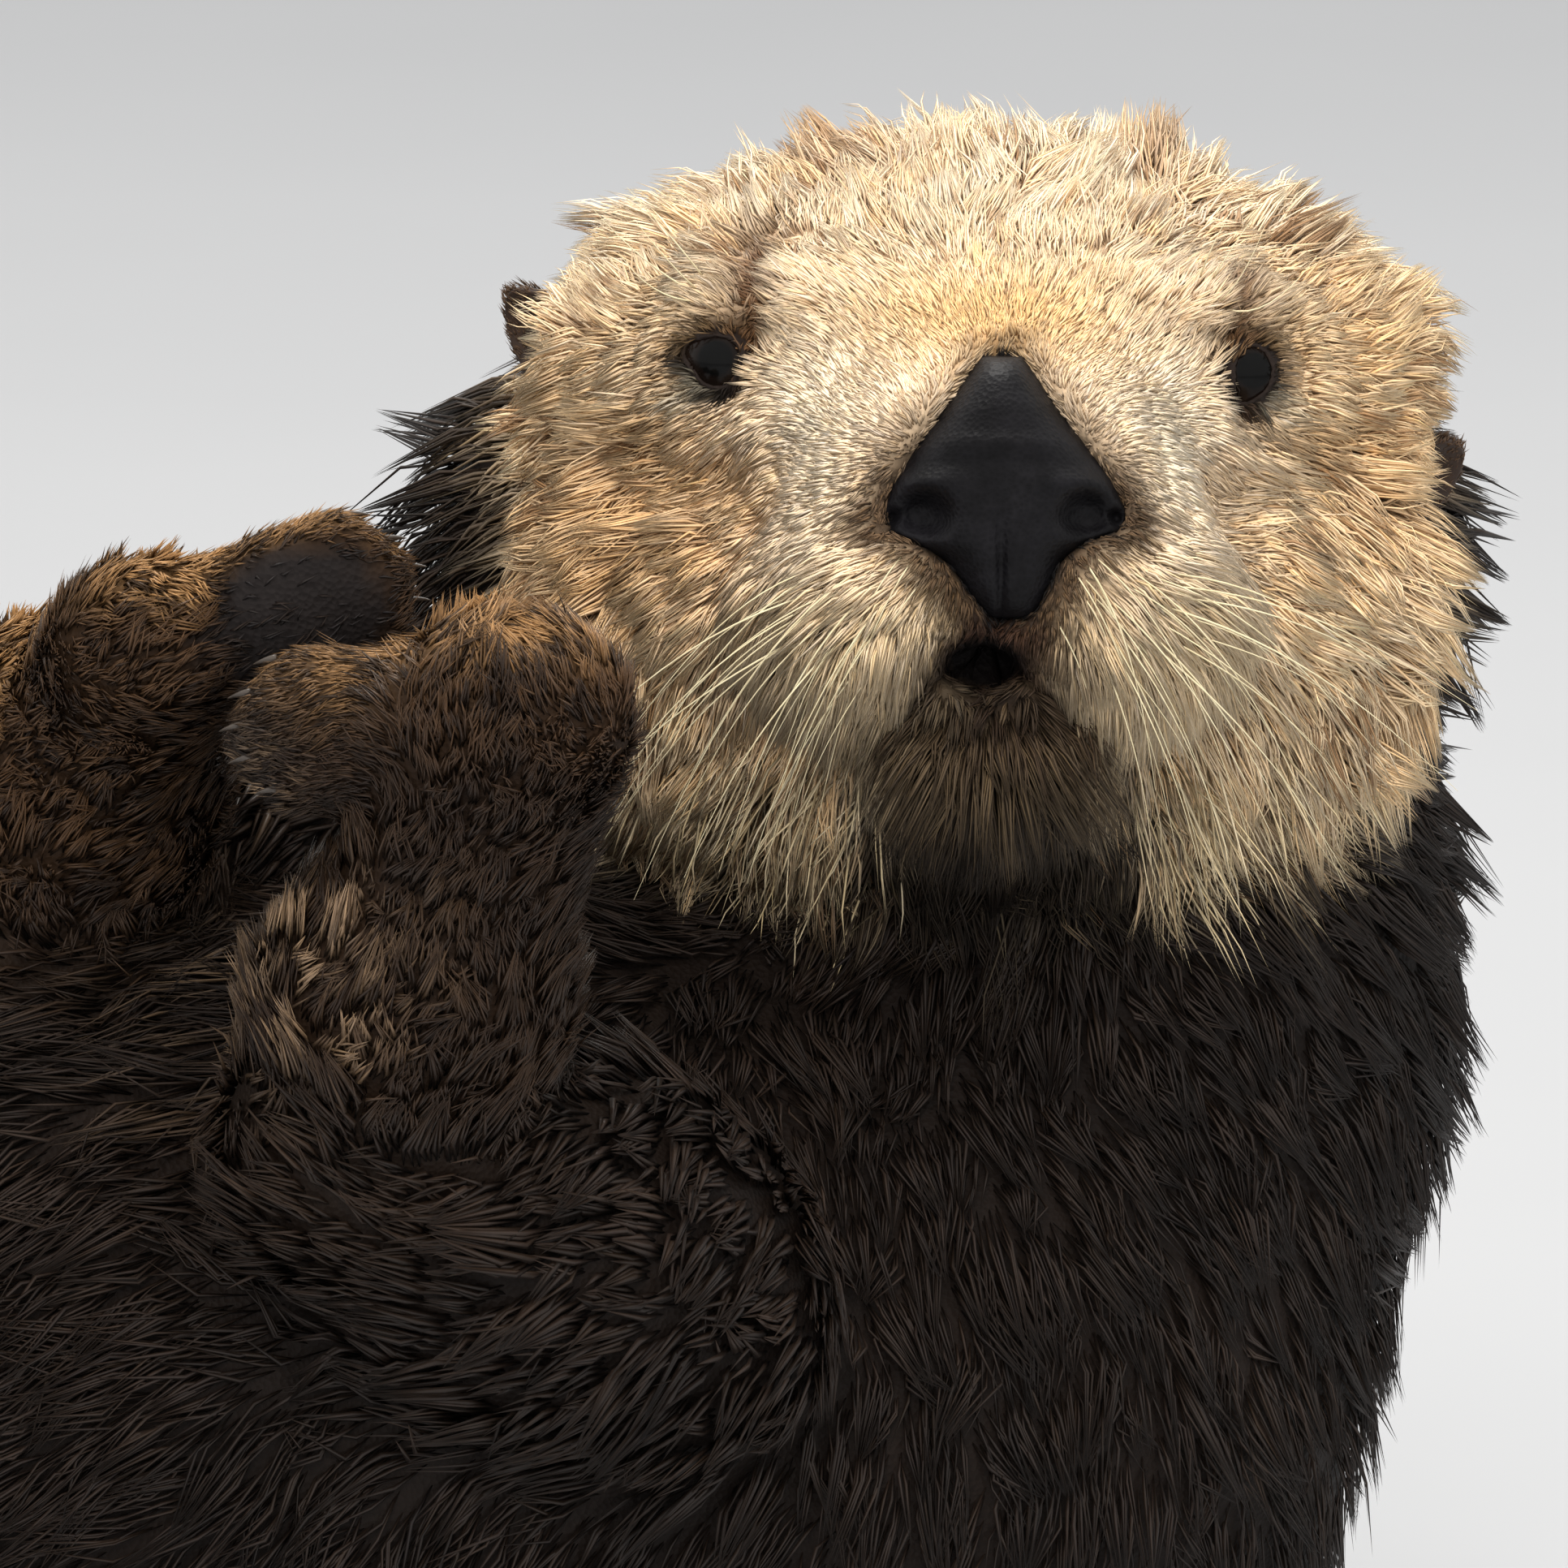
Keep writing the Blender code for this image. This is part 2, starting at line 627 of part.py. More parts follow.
# The muzzle and the jaw are parted from the head by plugs along the face's axis.
keep(muzzle, muzzle_plug)
cut(muzzle, nose_cut)
keep(jaw, jaw_plug)
cut(jaw, muzzle_plug_wide)
cut(head, muzzle_plug_wide, jaw_plug_wide, *eye_cuts, *ear_cuts)

# The neck takes all of the body in front of the chest, up to the head.
keep(neck, front_room)
cut(neck, head_cut)
cut(ear_R, neck_cut)
cut(ear_L, neck_cut)
cut(chest, head_cut)

for letter in ("R", "L"):
    upper, fore, paw = limb_parts[letter]
    upper_cut, fore_cut, paw_cut = grown(upper), grown(fore), grown(paw)
    arm = ARMS[letter]
    past_elbow, before_elbow = joint_tools("elbow_" + letter, arm["shoulder"], arm["elbow"], arm["wrist"])
    past_wrist, before_wrist = joint_tools("wrist_" + letter, arm["elbow"], arm["wrist"], arm["tip"])
    cut(upper, past_elbow, head_cut)
    cut(fore, before_elbow, past_wrist)
    cut(paw, before_wrist, head_cut)
    cut(chest, upper_cut, fore_cut)
    if letter == "L":
        cut(neck, upper_cut)
    else:
        cut(upper, neck_cut)
    cut(fore, neck_cut)
    cut(paw, neck_cut)
    limb_parts["cut" + letter] = (upper_cut, fore_cut, paw_cut)
cut(limb_parts["L"][2], limb_parts["cutR"][2])
for letter in ("L", "R"):
    thigh, shank, foot = limb_parts["hind" + letter]
    thigh_cut, shank_cut = grown(thigh), grown(shank)
    hip, knee, ankle = (mirrored(p, -1 if letter == "L" else 1) for p in (HIP, KNEE, ANKLE))
    toes = ankle + mirrored(FOOT_AIM, -1 if letter == "L" else 1)
    past_knee, before_knee = joint_tools("knee_" + letter, hip, knee, ankle)
    past_ankle, before_ankle = joint_tools("ankle_" + letter, knee, ankle, toes)
    cut(thigh, past_knee)
    cut(shank, before_knee, past_ankle)
    cut(foot, before_ankle)
    cut(rump, thigh_cut, shank_cut)
    cut(belly, thigh_cut)

# ---------------------------------------------------------------- origin under the middle of the whole
bpy.context.view_layer.update()
graph = bpy.context.evaluated_depsgraph_get()
low, high = Vector((9, 9, 9)), Vector((-9, -9, -9))
for piece in parts.objects:
    seen = piece.evaluated_get(graph)
    for v in seen.data.vertices:
        for i in range(3):
            low[i], high[i] = min(low[i], v.co[i]), max(high[i], v.co[i])
shift = Vector((-(low.x + high.x) / 2, -(low.y + high.y) / 2, 0))
for thing in list(parts.objects) + list(cutters.objects):
    thing.location = shift
bpy.context.view_layer.update()
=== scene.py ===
"""Looks of the life-size sea otter: one skin, a coat of fine tufts over it, eyes, nose, ears, whiskers and claws.

Everything is placed from the CAD frame: the face frame comes from the boxes of the two eyes, and the body from it.
"""

import math

import bmesh
import bpy
import numpy as np
from mathutils import Matrix, Vector
from mathutils.bvhtree import BVHTree
from mathutils.kdtree import KDTree


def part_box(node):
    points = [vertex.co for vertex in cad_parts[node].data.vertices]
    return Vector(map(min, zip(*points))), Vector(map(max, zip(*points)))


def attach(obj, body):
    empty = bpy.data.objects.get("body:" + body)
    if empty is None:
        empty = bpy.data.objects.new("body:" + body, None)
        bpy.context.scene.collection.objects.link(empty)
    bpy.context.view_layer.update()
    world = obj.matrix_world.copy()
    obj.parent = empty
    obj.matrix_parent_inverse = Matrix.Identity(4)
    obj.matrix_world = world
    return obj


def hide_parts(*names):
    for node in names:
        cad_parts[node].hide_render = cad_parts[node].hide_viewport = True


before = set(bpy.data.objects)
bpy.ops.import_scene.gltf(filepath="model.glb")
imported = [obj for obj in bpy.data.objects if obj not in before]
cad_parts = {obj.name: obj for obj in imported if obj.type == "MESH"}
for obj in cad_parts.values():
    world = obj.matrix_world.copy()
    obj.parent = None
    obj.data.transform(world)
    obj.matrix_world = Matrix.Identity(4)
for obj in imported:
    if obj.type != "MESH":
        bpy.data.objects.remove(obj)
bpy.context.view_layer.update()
SHARE = 1.0  # of the tufts, while trying things

# ================================================================ frames
PITCH = math.radians(12)
AXES = np.array([[1, 0, 0], [0, math.cos(PITCH), -math.sin(PITCH)], [0, math.sin(PITCH), math.cos(PITCH)]])
HEAD_Z = 0.272
EYE_SPACING, EYE_DEPTH, EYE_RADIUS = 0.0947, -0.0388, 0.0076


def eye_in_face(side):
    return np.array([0.0007 + side * EYE_SPACING / 2, EYE_DEPTH, 0.0270 - side * 0.0011])


def box_middle(node):
    low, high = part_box(node)
    return (np.array(low) + np.array(high)) / 2


EYES = {1: box_middle("eye_L"), -1: box_middle("eye_R")}
HEAD = (EYES[1] + EYES[-1]) / 2 - ((eye_in_face(1) + eye_in_face(-1)) / 2) @ AXES
SHIFT = HEAD - np.array([0, 0, HEAD_Z])


def to_face(p):
    return (p - HEAD) @ AXES.T


def from_face(q):
    return np.asarray(q, float) @ AXES + HEAD


def smooth(a, b, x):
    t = np.clip((x - a) / (b - a), 0, 1)
    return t * t * (3 - 2 * t)


def unit(v):
    v = np.asarray(v, float)
    return v / np.maximum(np.linalg.norm(v, axis=-1, keepdims=True), 1e-12)


def make_noise(seed, scale, octaves=2, waves=9):
    """A smooth field of about -1 to 1 whose features are scale metres apart."""
    rng = np.random.default_rng(seed)
    terms = []
    for octave in range(octaves):
        for _ in range(waves):
            k = unit(rng.normal(size=3)) * 2 * math.pi / (scale * 0.5**octave) * rng.uniform(0.6, 1.3)
            terms.append((k, rng.uniform(0, 2 * math.pi), 0.55**octave))
    total = math.sqrt(sum(t[2] ** 2 for t in terms) / 2) * 1.6

    def noise(p):
        return np.clip(sum(a * np.sin(p @ k + f) for k, f, a in terms) / total, -1.3, 1.3)

    return noise


# ================================================================ the body's forms, as the CAD solids have them
def ellipsoid(p, centre, radii, axes=None):
    q = p - np.asarray(centre, float)
    if axes is not None:
        q = q @ np.asarray(axes, float).T
    radii = np.asarray(radii, float)
    a = np.linalg.norm(q / radii, axis=-1)
    b = np.linalg.norm(q / radii**2, axis=-1)
    return a * (a - 1) / np.maximum(b, 1e-9)


def capsule(p, start, end, r0, r1):
    start, end = np.asarray(start, float), np.asarray(end, float)
    along = end - start
    t = np.clip(((p - start) @ along) / (along @ along), 0, 1)
    return np.linalg.norm(p - (start + t[..., None] * along), axis=-1) - (r0 + (r1 - r0) * t)


def blend(distances, soft):
    d = np.stack(distances)
    least = d.min(axis=0)
    return least - soft * np.log(np.exp(-(d - least) / soft).sum(axis=0))


def head_form(q):
    """The head's outline in the face frame, out to the tips of the coat, with no eye sockets."""
    forms = [
        ellipsoid(q, (0, 0.010, 0.016), (0.082, 0.070, 0.060)),
        ellipsoid(q, (0.002, -0.004, -0.037), (0.058, 0.050, 0.034)),
        ellipsoid(q, (0.002, -0.046, 0.000), (0.040, 0.037, 0.037)),
        ellipsoid(q, (0.001, -0.046, -0.042), (0.025, 0.024, 0.016)),
    ]
    for side in (-1, 1):
        forms.append(ellipsoid(q, (side * 0.050, 0.010, 0.025), (0.038, 0.050, 0.035)))
        forms.append(ellipsoid(q, (side * 0.045, 0.000, -0.015), (0.043, 0.050, 0.041)))
        forms.append(ellipsoid(q, (0.002 + side * 0.022, -0.053, -0.017), (0.026, 0.027, 0.022)))
        forms.append(ellipsoid(q, (side * 0.034, -0.032, 0.040), (0.022, 0.020, 0.012)))
    return blend(forms, 0.0042)


def body_form(p):
    """Neck and trunk, in the body's own frame (world less SHIFT)."""
    ruff = np.array([-0.006, 0.050, -0.002]) @ AXES + np.array([0, 0, HEAD_Z])
    forms = [
        ellipsoid(p, ruff, (0.104, 0.050, 0.058), AXES),
        ellipsoid(p, (0.008, 0.046, 0.175), (0.090, 0.082, 0.102)),
        ellipsoid(p, (-0.030, 0.018, 0.100), (0.108, 0.098, 0.096)),
        ellipsoid(p, (-0.135, 0.002, 0.112), (0.150, 0.112, 0.108)),
        ellipsoid(p, (-0.235, 0.000, 0.124), (0.140, 0.126, 0.124)),
        ellipsoid(p, (-0.370, 0.000, 0.132), (0.235, 0.132, 0.130)),
        ellipsoid(p, (-0.590, 0.000, 0.108), (0.185, 0.118, 0.106)),
        ellipsoid(p, (-0.760, 0.000, 0.058), (0.110, 0.060, 0.052)),
    ]
    return blend(forms, 0.012)


def face_place(x, y, z):
    """A face-frame point in the body's own frame."""
    return np.array([x, y, z]) @ AXES + np.array([0, 0, HEAD_Z])


ARMS = {
    "R": dict(
        shoulder=np.array((-0.095, 0.030, 0.196)),
        elbow=np.array((-0.176, -0.036, 0.214)),
        wrist=face_place(-0.1500, -0.080, -0.0240),
        tip=face_place(-0.1060, -0.092, -0.0120),
        radii=(0.044, 0.038, 0.0200),
        paw=(0.0160, 0.0110),
        palm=np.array((0.15, -0.95, -0.10)),
    ),
    "L": dict(
        shoulder=np.array((-0.062, -0.070, 0.140)),
        elbow=np.array((-0.110, -0.104, 0.178)),
        wrist=face_place(-0.0850, -0.112, -0.0370),
        tip=face_place(-0.1290, -0.108, -0.0395),
        radii=(0.046, 0.036, 0.0240),
        paw=(0.0160, 0.0120),
        palm=np.array((0.05, 0.75, -0.50)),
    ),
}
for arm in ARMS.values():
    arm["along"] = unit(arm["tip"] - arm["wrist"])
    arm["palm"] = unit(arm["palm"] - arm["along"] * (arm["palm"] @ arm["along"]))
    arm["across"] = np.cross(arm["along"], arm["palm"])


def upper_form(arm, p):
    s, e, (r0, r1, _) = arm["shoulder"], arm["elbow"], arm["radii"]
    return blend((capsule(p, s, e, r0 * 0.94, r1 * 0.94), ellipsoid(p, s + (e - s) * 0.35, (r0 * 1.05, r0 * 0.98, r0 * 0.95))), 0.004)


def fore_form(arm, p):
    e, w, (_, r1, r2) = arm["elbow"], arm["wrist"], arm["radii"]
    return blend(
        (
            capsule(p, e, w, r1 * 0.82, r2 * 0.94),
            ellipsoid(p, e + (w - e) * 0.30, (r1 * 0.90, r1 * 0.86, r1 * 0.98)),
            ellipsoid(p, w, (r2, r2 * 0.96, r2 * 0.92)),
        ),
        0.003,
    )


def paw_form(arm, p, toe_size=1.0):
    wrist, tip, along, across, palm = (arm[k] for k in ("wrist", "tip", "along", "across", "palm"))
    half_width, half_thick = arm["paw"]
    length = np.linalg.norm(tip - wrist)
    axes = np.stack([along, across, palm])
    forms = [
        ellipsoid(p, wrist + (tip - wrist) * 0.52, (length * 0.56, half_width, half_thick), axes),
        capsule(p, wrist - along * 0.004, wrist + along * 0.016, arm["radii"][2] * 0.86, half_thick),
    ]
    for k in range(5):
        side = (k - 2) / 2
        toe = wrist + along * (length * (0.93 - 0.14 * side * side)) + across * (side * half_width * 0.78)
        forms.append(ellipsoid(p, toe, (0.0105 * toe_size, 0.0042 * toe_size, half_thick * 0.72), axes))
    return blend(forms, 0.0016)


HIP, KNEE, ANKLE = (-0.640, 0.078, 0.118), (-0.700, 0.128, 0.150), (-0.815, 0.122, 0.088)
FOOT_AIM, SOLE_SIDE = (-0.74, 0.20, 0.60), (-0.60, -0.10, -0.78)
FLIPPER_LENGTH, FLIPPER_WIDTH = 0.215, 0.118
CHEST_FRONT_X, RUMP_BACK_X = -0.058, -0.805
TAIL_LENGTH, TAIL_HALF_WIDTH, TAIL_HALF_THICKNESS = 0.285, 0.036, 0.021


def mirrored(point, side):
    return np.array([point[0], point[1] * side, point[2]], float)


LEGS = {}
for side, letter in ((-1, "L"), (1, "R")):
    aim = unit(mirrored(FOOT_AIM, side))
    sole = mirrored(SOLE_SIDE, side)
    sole = unit(sole - aim * (sole @ aim))
    out = np.cross(aim, sole)
    if out[1] * side < 0:
        out = -out
    LEGS[letter] = dict(hip=mirrored(HIP, side), knee=mirrored(KNEE, side), ankle=mirrored(ANKLE, side), aim=aim, sole=sole, out=out)


def thigh_form(leg, p):
    h, k = leg["hip"], leg["knee"]
    return blend((capsule(p, h, k, 0.062, 0.044), ellipsoid(p, h + (k - h) * 0.4, (0.072, 0.050, 0.062))), 0.005)


def shank_form(leg, p):
    k, a = leg["knee"], leg["ankle"]
    return blend((capsule(p, k, a, 0.040, 0.0250), ellipsoid(p, k + (a - k) * 0.35, (0.044, 0.036, 0.036))), 0.004)


def flipper_form(leg, p):
    """Rough distance to the hind flipper, to tell which points belong to it."""
    q = p - leg["ankle"]
    s, b, h = q @ leg["aim"] / FLIPPER_LENGTH, q @ leg["out"], q @ leg["sole"]
    fan = np.clip((s - 0.05) / 0.95, 0, 1)
    half = 0.024 + (FLIPPER_WIDTH / 2 - 0.024) * fan**0.8
    return np.maximum.reduce([np.abs(h) - 0.022, np.abs(b - 0.010 * fan) - half - 0.008, (-0.02 - s) * FLIPPER_LENGTH, (s - 1.2) * FLIPPER_LENGTH])


def tail_form(p):
    s = np.clip((RUMP_BACK_X - p[..., 0]) / TAIL_LENGTH, 0, 1)
    half = TAIL_HALF_WIDTH * (1 - 0.28 * s) + 0.02 * (1 - s) ** 4
    thick = TAIL_HALF_THICKNESS * (1 - 0.35 * s) + 0.03 * (1 - s) ** 4
    side = np.hypot(p[..., 1] / half, (p[..., 2] - thick) / thick)
    return np.maximum((side - 1) * thick, p[..., 0] - RUMP_BACK_X + 0.01)


# ================================================================ how deep the skin lies under the tips
# the nose pad's outline: height in the face frame, left and right edge, how far forward it bulges
NOSE_STATIONS = np.array((
    (0.0285, 0.0000, 0.0074, -0.0742),
    (0.0245, -0.0032, 0.0100, -0.0778),
    (0.0190, -0.0072, 0.0138, -0.0814),
    (0.0120, -0.0121, 0.0188, -0.0845),
    (0.0055, -0.0161, 0.0233, -0.0864),
    (0.0000, -0.0182, 0.0260, -0.0872),
    (-0.0036, -0.0179, 0.0250, -0.0868),
    (-0.0056, -0.0130, 0.0190, -0.0864),
    (-0.0080, -0.0084, 0.0160, -0.0858),
    (-0.0136, -0.0040, 0.0130, -0.0842),
    (-0.0190, -0.0002, 0.0100, -0.0820),
))


def nose_edges(z):
    s = NOSE_STATIONS[::-1]
    return np.interp(z, s[:, 0], s[:, 1]), np.interp(z, s[:, 0], s[:, 2])


def nose_gap(q):
    """How far a face point is outside the nose pad's outline, seen from the front; less than 0 inside it."""
    left, right = nose_edges(np.clip(q[..., 2], -0.0190, 0.0280))
    dx = np.maximum(left - q[..., 0], q[..., 0] - right)
    dz = np.maximum(-0.0195 - q[..., 2], q[..., 2] - 0.0285)
    return np.where((dx < 0) & (dz < 0), np.maximum(dx, dz), np.hypot(np.maximum(dx, 0), np.maximum(dz, 0)))


NOSE_MIDDLE = np.array([0.0025, -0.084, 0.003])


def eye_distance(q):
    return np.minimum(*(np.linalg.norm((q - eye_in_face(s)) * (1, 0.6, 1), axis=-1) for s in (-1, 1)))


def mix(a, b, t):
    return a * (1 - t) + b * t


def head_depth(q):
    """Depth of the coat on the head."""
    x, y, z = q[..., 0], q[..., 1], q[..., 2]
    d = np.full(x.shape, 0.0100)
    d = mix(d, 0.0078, smooth(-0.005, -0.035, y) * smooth(0.085, 0.055, z) * smooth(-0.02, 0.02, z))
    d = mix(d, 0.0036, smooth(-0.034, -0.060, y))
    d = mix(d, 0.0016, np.exp(-((eye_distance(q) / 0.013) ** 2)))
    return mix(d, 0.0018, smooth(0.008, 0.002, nose_gap(q)) * smooth(-0.045, -0.06, y))


def segment_distance(x, z, a, b):
    a, b = np.asarray(a), np.asarray(b)
    ab = b - a
    t = np.clip(((x - a[0]) * ab[0] + (z - a[1]) * ab[1]) / (ab @ ab), 0, 1)
    return np.hypot(x - a[0] - t * ab[0], z - a[1] - t * ab[1]), t


MOUTH = np.array([0.0002, -0.0268])  # in the face frame, x and z
LIPS = (((0.0030, -0.0195), (0.0008, -0.0240), 0.0012, 0.0014), ((-0.0040, -0.0262), (-0.0130, -0.0335), 0.0022, 0.0017), ((0.0045, -0.0262), (0.0140, -0.0335), 0.0022, 0.0017))
# folds by the eyes: their two ends, depth and width, and how dark their painted shade is
CREASES = (
    ((-0.0412, 0.0318), (-0.0384, 0.0490), 0.0028, 0.0036, 1.00),
    ((0.0450, 0.0312), (0.0458, 0.0412), 0.0022, 0.0027, 0.90),
    ((0.0462, 0.0195), (0.0580, 0.0075), 0.0012, 0.0018, 0.30),
)


def mouth_share(x, z):
    return np.exp(-((((x - MOUTH[0]) / 0.0070) ** 2 + ((z - MOUTH[1]) / 0.0050) ** 2) ** 2))


def face_relief(q):
    """What is sculpted on the skin of the face, outwards, in metres."""
    x, y, z = q[..., 0], q[..., 1], q[..., 2]
    front = smooth(-0.015, -0.035, y)
    up = np.zeros(x.shape)
    for side in (-1, 1):
        e = eye_in_face(side)
        up -= 0.0006 * np.exp(-(((x - e[0]) / 0.0105) ** 2) - (((z - e[2]) / 0.0105) ** 2))
        up += 0.0030 * np.exp(-(((x - e[0] + side * 0.001) / 0.013) ** 2) - (((z - e[2] - 0.0130) / 0.0052) ** 2))  # brow
        up += 0.0014 * np.exp(-(((x - e[0]) / 0.011) ** 2) - (((z - e[2] + 0.0125) / 0.0050) ** 2))  # under the eye
        up += 0.0016 * np.exp(-(((x - MOUTH[0] - side * 0.017) / 0.013) ** 2) - (((z + 0.0165) / 0.011) ** 2))  # whisker pad
    for a, b, deep, wide in LIPS:
        d, _ = segment_distance(x, z, a, b)
        up -= deep * np.exp(-((d / wide) ** 2)) * smooth(-0.045, -0.055, y)
    for a, b, deep, wide, _ in CREASES:
        d, _ = segment_distance(x, z, a, b)
        up -= deep * np.exp(-((d / wide) ** 2))
    up -= 0.0105 * mouth_share(x, z) * smooth(-0.046, -0.056, y)
    up -= 0.0085 * smooth(-0.0012, -0.0040, nose_gap(q)) * smooth(-0.050, -0.060, y)  # the seat of the nose pad
    return up * front


def head_skin(q):
    return head_form(q) + head_depth(q) - face_relief(q)


# ================================================================ raw closed forms at skin level
def outermost(origins, directions, field, reach, steps=80):
    t = np.linspace(reach, 0, steps)
    inside = np.stack([field(origins + directions * x) < 0 for x in t])
    first = inside.argmax(axis=0)
    far, near = t[np.maximum(first - 1, 0)], t[first]
    for _ in range(22):
        middle = (far + near) / 2
        within = field(origins + directions * middle[:, None]) < 0
        near, far = np.where(within, middle, near), np.where(within, far, middle)
    return (near + far) / 2


raw = []  # (points, faces) of each form


def blob(centre, axis, field, segments, rings, reach, floor=None):
    axis = unit(axis)
    turn = np.array(Vector((0, 0, 1)).rotation_difference(Vector(axis)).to_matrix())
    theta = np.linspace(0, math.pi, rings + 1)[1:-1]
    phi = np.linspace(0, 2 * math.pi, segments, endpoint=False)
    grid = np.stack([np.outer(np.sin(theta), np.cos(phi)), np.outer(np.sin(theta), np.sin(phi)), np.outer(np.cos(theta), np.ones(segments))], axis=-1)
    directions = np.vstack([[[0, 0, 1]], grid.reshape(-1, 3), [[0, 0, -1]]]) @ turn.T
    centre = np.asarray(centre, float)
    far = outermost(np.repeat(centre[None], len(directions), 0), directions, field, reach)
    points = centre + directions * far[:, None]
    if floor is not None:
        points[:, 2] = np.maximum(points[:, 2], floor)
    faces = []
    n = segments
    for k in range(n):
        faces.append((0, 1 + k, 1 + (k + 1) % n))
        last = 1 + (rings - 2) * n
        faces.append((len(points) - 1, last + (k + 1) % n, last + k))
    for r in range(rings - 2):
        for k in range(n):
            a, b = 1 + r * n + k, 1 + r * n + (k + 1) % n
            faces.append((a, a + n, b + n, b))
    raw.append((points, faces))


def loft(sections):
    n = len(sections[0])
    points = np.array(sections, float).reshape(-1, 3)
    first, last = points[:n].mean(axis=0), points[-n:].mean(axis=0)
    points = np.vstack([points, first, last])
    faces = []
    for s in range(len(sections) - 1):
        for k in range(n):
            a, b = s * n + k, s * n + (k + 1) % n
            faces.append((a, b, b + n, a + n))
    for k in range(n):
        faces.append((len(points) - 2, (k + 1) % n, k))
        a = (len(sections) - 1) * n
        faces.append((len(points) - 1, a + k, a + (k + 1) % n))
    raw.append((points, faces))


UNDER = 0.0028  # the coat under the animal, pressed flat by its weight
TRUNK_DEPTH = 0.0080


def trunk_ring(x, count=72):
    height = float(np.interp(x, (-0.80, -0.70, -0.55, -0.30, -0.05), (0.055, 0.080, 0.105, 0.125, 0.125)))
    angles = np.linspace(0, 2 * math.pi, count, endpoint=False)
    directions = np.stack([np.zeros(count), np.cos(angles), np.sin(angles)], axis=1)
    start = np.repeat(np.array([[x, 0.0, height]]), count, 0)
    depth = TRUNK_DEPTH if x > -0.70 else float(np.interp(x, (-0.80, -0.70), (0.0050, TRUNK_DEPTH)))
    far = outermost(start, directions, lambda p: body_form(p) + depth, 0.32)
    ring = start + directions * far[:, None]
    pressed = ring[:, 2] - 0.010 * np.clip(1 - ring[:, 2] / 0.040, 0, 1)
    ring[:, 2] = np.maximum(pressed, UNDER)
    return ring


def make_raw():
    blob(face_place(0, 0, 0), AXES[1] * -1, lambda p: head_form((p - np.array([0, 0, HEAD_Z])) @ AXES.T) + 0.0075, 96, 64, 0.16)
    blob((0.005, 0.030, 0.150), (1, 0, 0), lambda p: np.maximum(body_form(p) + 0.0095, -0.10 - p[..., 0]), 96, 64, 0.35, floor=UNDER)
    loft([trunk_ring(x) for x in np.linspace(-0.040, RUMP_BACK_X, 96)])
    # tail
    root = trunk_ring(RUMP_BACK_X + 0.012, 40)
    sections = [root]
    for s in np.linspace(0.08, 1.0, 26):
        x = RUMP_BACK_X - TAIL_LENGTH * 0.985 * s
        taper = (1 - s**3.2) ** 0.5 if s < 1 else 0.0
        half_width = max(0.0035, (TAIL_HALF_WIDTH * (1 - 0.28 * s)) * taper - 0.0040)
        half_thick = max(0.0028, (TAIL_HALF_THICKNESS * (1 - 0.35 * s)) * taper - 0.0035)
        blend_in = max(0.0, 1 - s / 0.45) ** 2
        ring = []
        for k in range(40):
            a = 2 * math.pi * k / 40
            p = np.array([x, half_width * math.cos(a), UNDER + half_thick * (1 + math.sin(a))])
            q = np.array([x, root[k][1], root[k][2]])
            ring.append(p * (1 - blend_in) + q * blend_in)
        sections.append(ring)
    loft(sections)
    for arm in ARMS.values():
        s, e, w = arm["shoulder"], arm["elbow"], arm["wrist"]
        blob((s + e) / 2, e - s, lambda p: upper_form(arm, p) + 0.0075, 44, 30, 0.2)
        blob((e + w) / 2, w - e, lambda p: fore_form(arm, p) + 0.0048, 40, 30, 0.2)
        blob(w + (arm["tip"] - w) * 0.52, arm["along"], lambda p: paw_form(arm, p) + 0.0020, 52, 40, 0.12)
    for leg in LEGS.values():
        h, k, a = leg["hip"], leg["knee"], leg["ankle"]
        blob((h + k) / 2, k - h, lambda p: thigh_form(leg, p) + 0.0060, 40, 28, 0.25)
        blob((k + a) / 2, a - k, lambda p: shank_form(leg, p) + 0.0040, 36, 26, 0.25)
        sections = []
        count = 96
        for s in np.concatenate([[-0.15, -0.10, -0.04], np.linspace(0.0, 0.985, 34)]):
            fan = np.clip((s - 0.05) / 0.95, 0, 1)
            half = 0.023 + (FLIPPER_WIDTH / 2 - 0.0245) * fan**0.8
            web = 0.0165 * (1 - fan) ** 1.5 + 0.0021
            toe_up = 0.0165 * (1 - fan) ** 1.3 + 0.0052 - 0.0012 * fan
            if s < 0:
                shrink = math.sqrt(max(0.02, 1 - (s / -0.175) ** 2))
                half, web, toe_up = half * shrink, web * shrink, toe_up * shrink
            if s > 0.93:
                half = half * (1 - 0.6 * (s - 0.93))
                toe_up *= 0.80
            ring = []
            for j in range(count):
                ang = 2 * math.pi * (j + 0.5) / count
                b = math.copysign(abs(math.cos(ang)) ** 0.85, math.cos(ang))
                toe = max(0.0, math.cos((b + 1) * 2 * 2 * math.pi)) ** 0.9
                thick = web + (toe_up - web) * (toe * fan + (1 - fan))
                reach = 1 + fan * (0.13 * b - 0.05 + 0.045 * fan * (toe - 0.6) - 0.12 * fan**2 * b**8)
                edge = abs(math.sin(ang)) ** (0.9 - 0.35 * fan)
                lift = thick * math.copysign(edge, math.sin(ang))
                cup = 0.012 * fan * (b * b - 0.4)
                curl = 0.010 * math.sin(math.pi * np.clip(s, 0, 1))
                ring.append(a + leg["aim"] * (FLIPPER_LENGTH * s * (reach if s > 0 else 1)) + leg["out"] * (half * b + 0.010 * fan) + leg["sole"] * (lift - curl + cup))
            sections.append(ring)
        loft(sections)


make_raw()


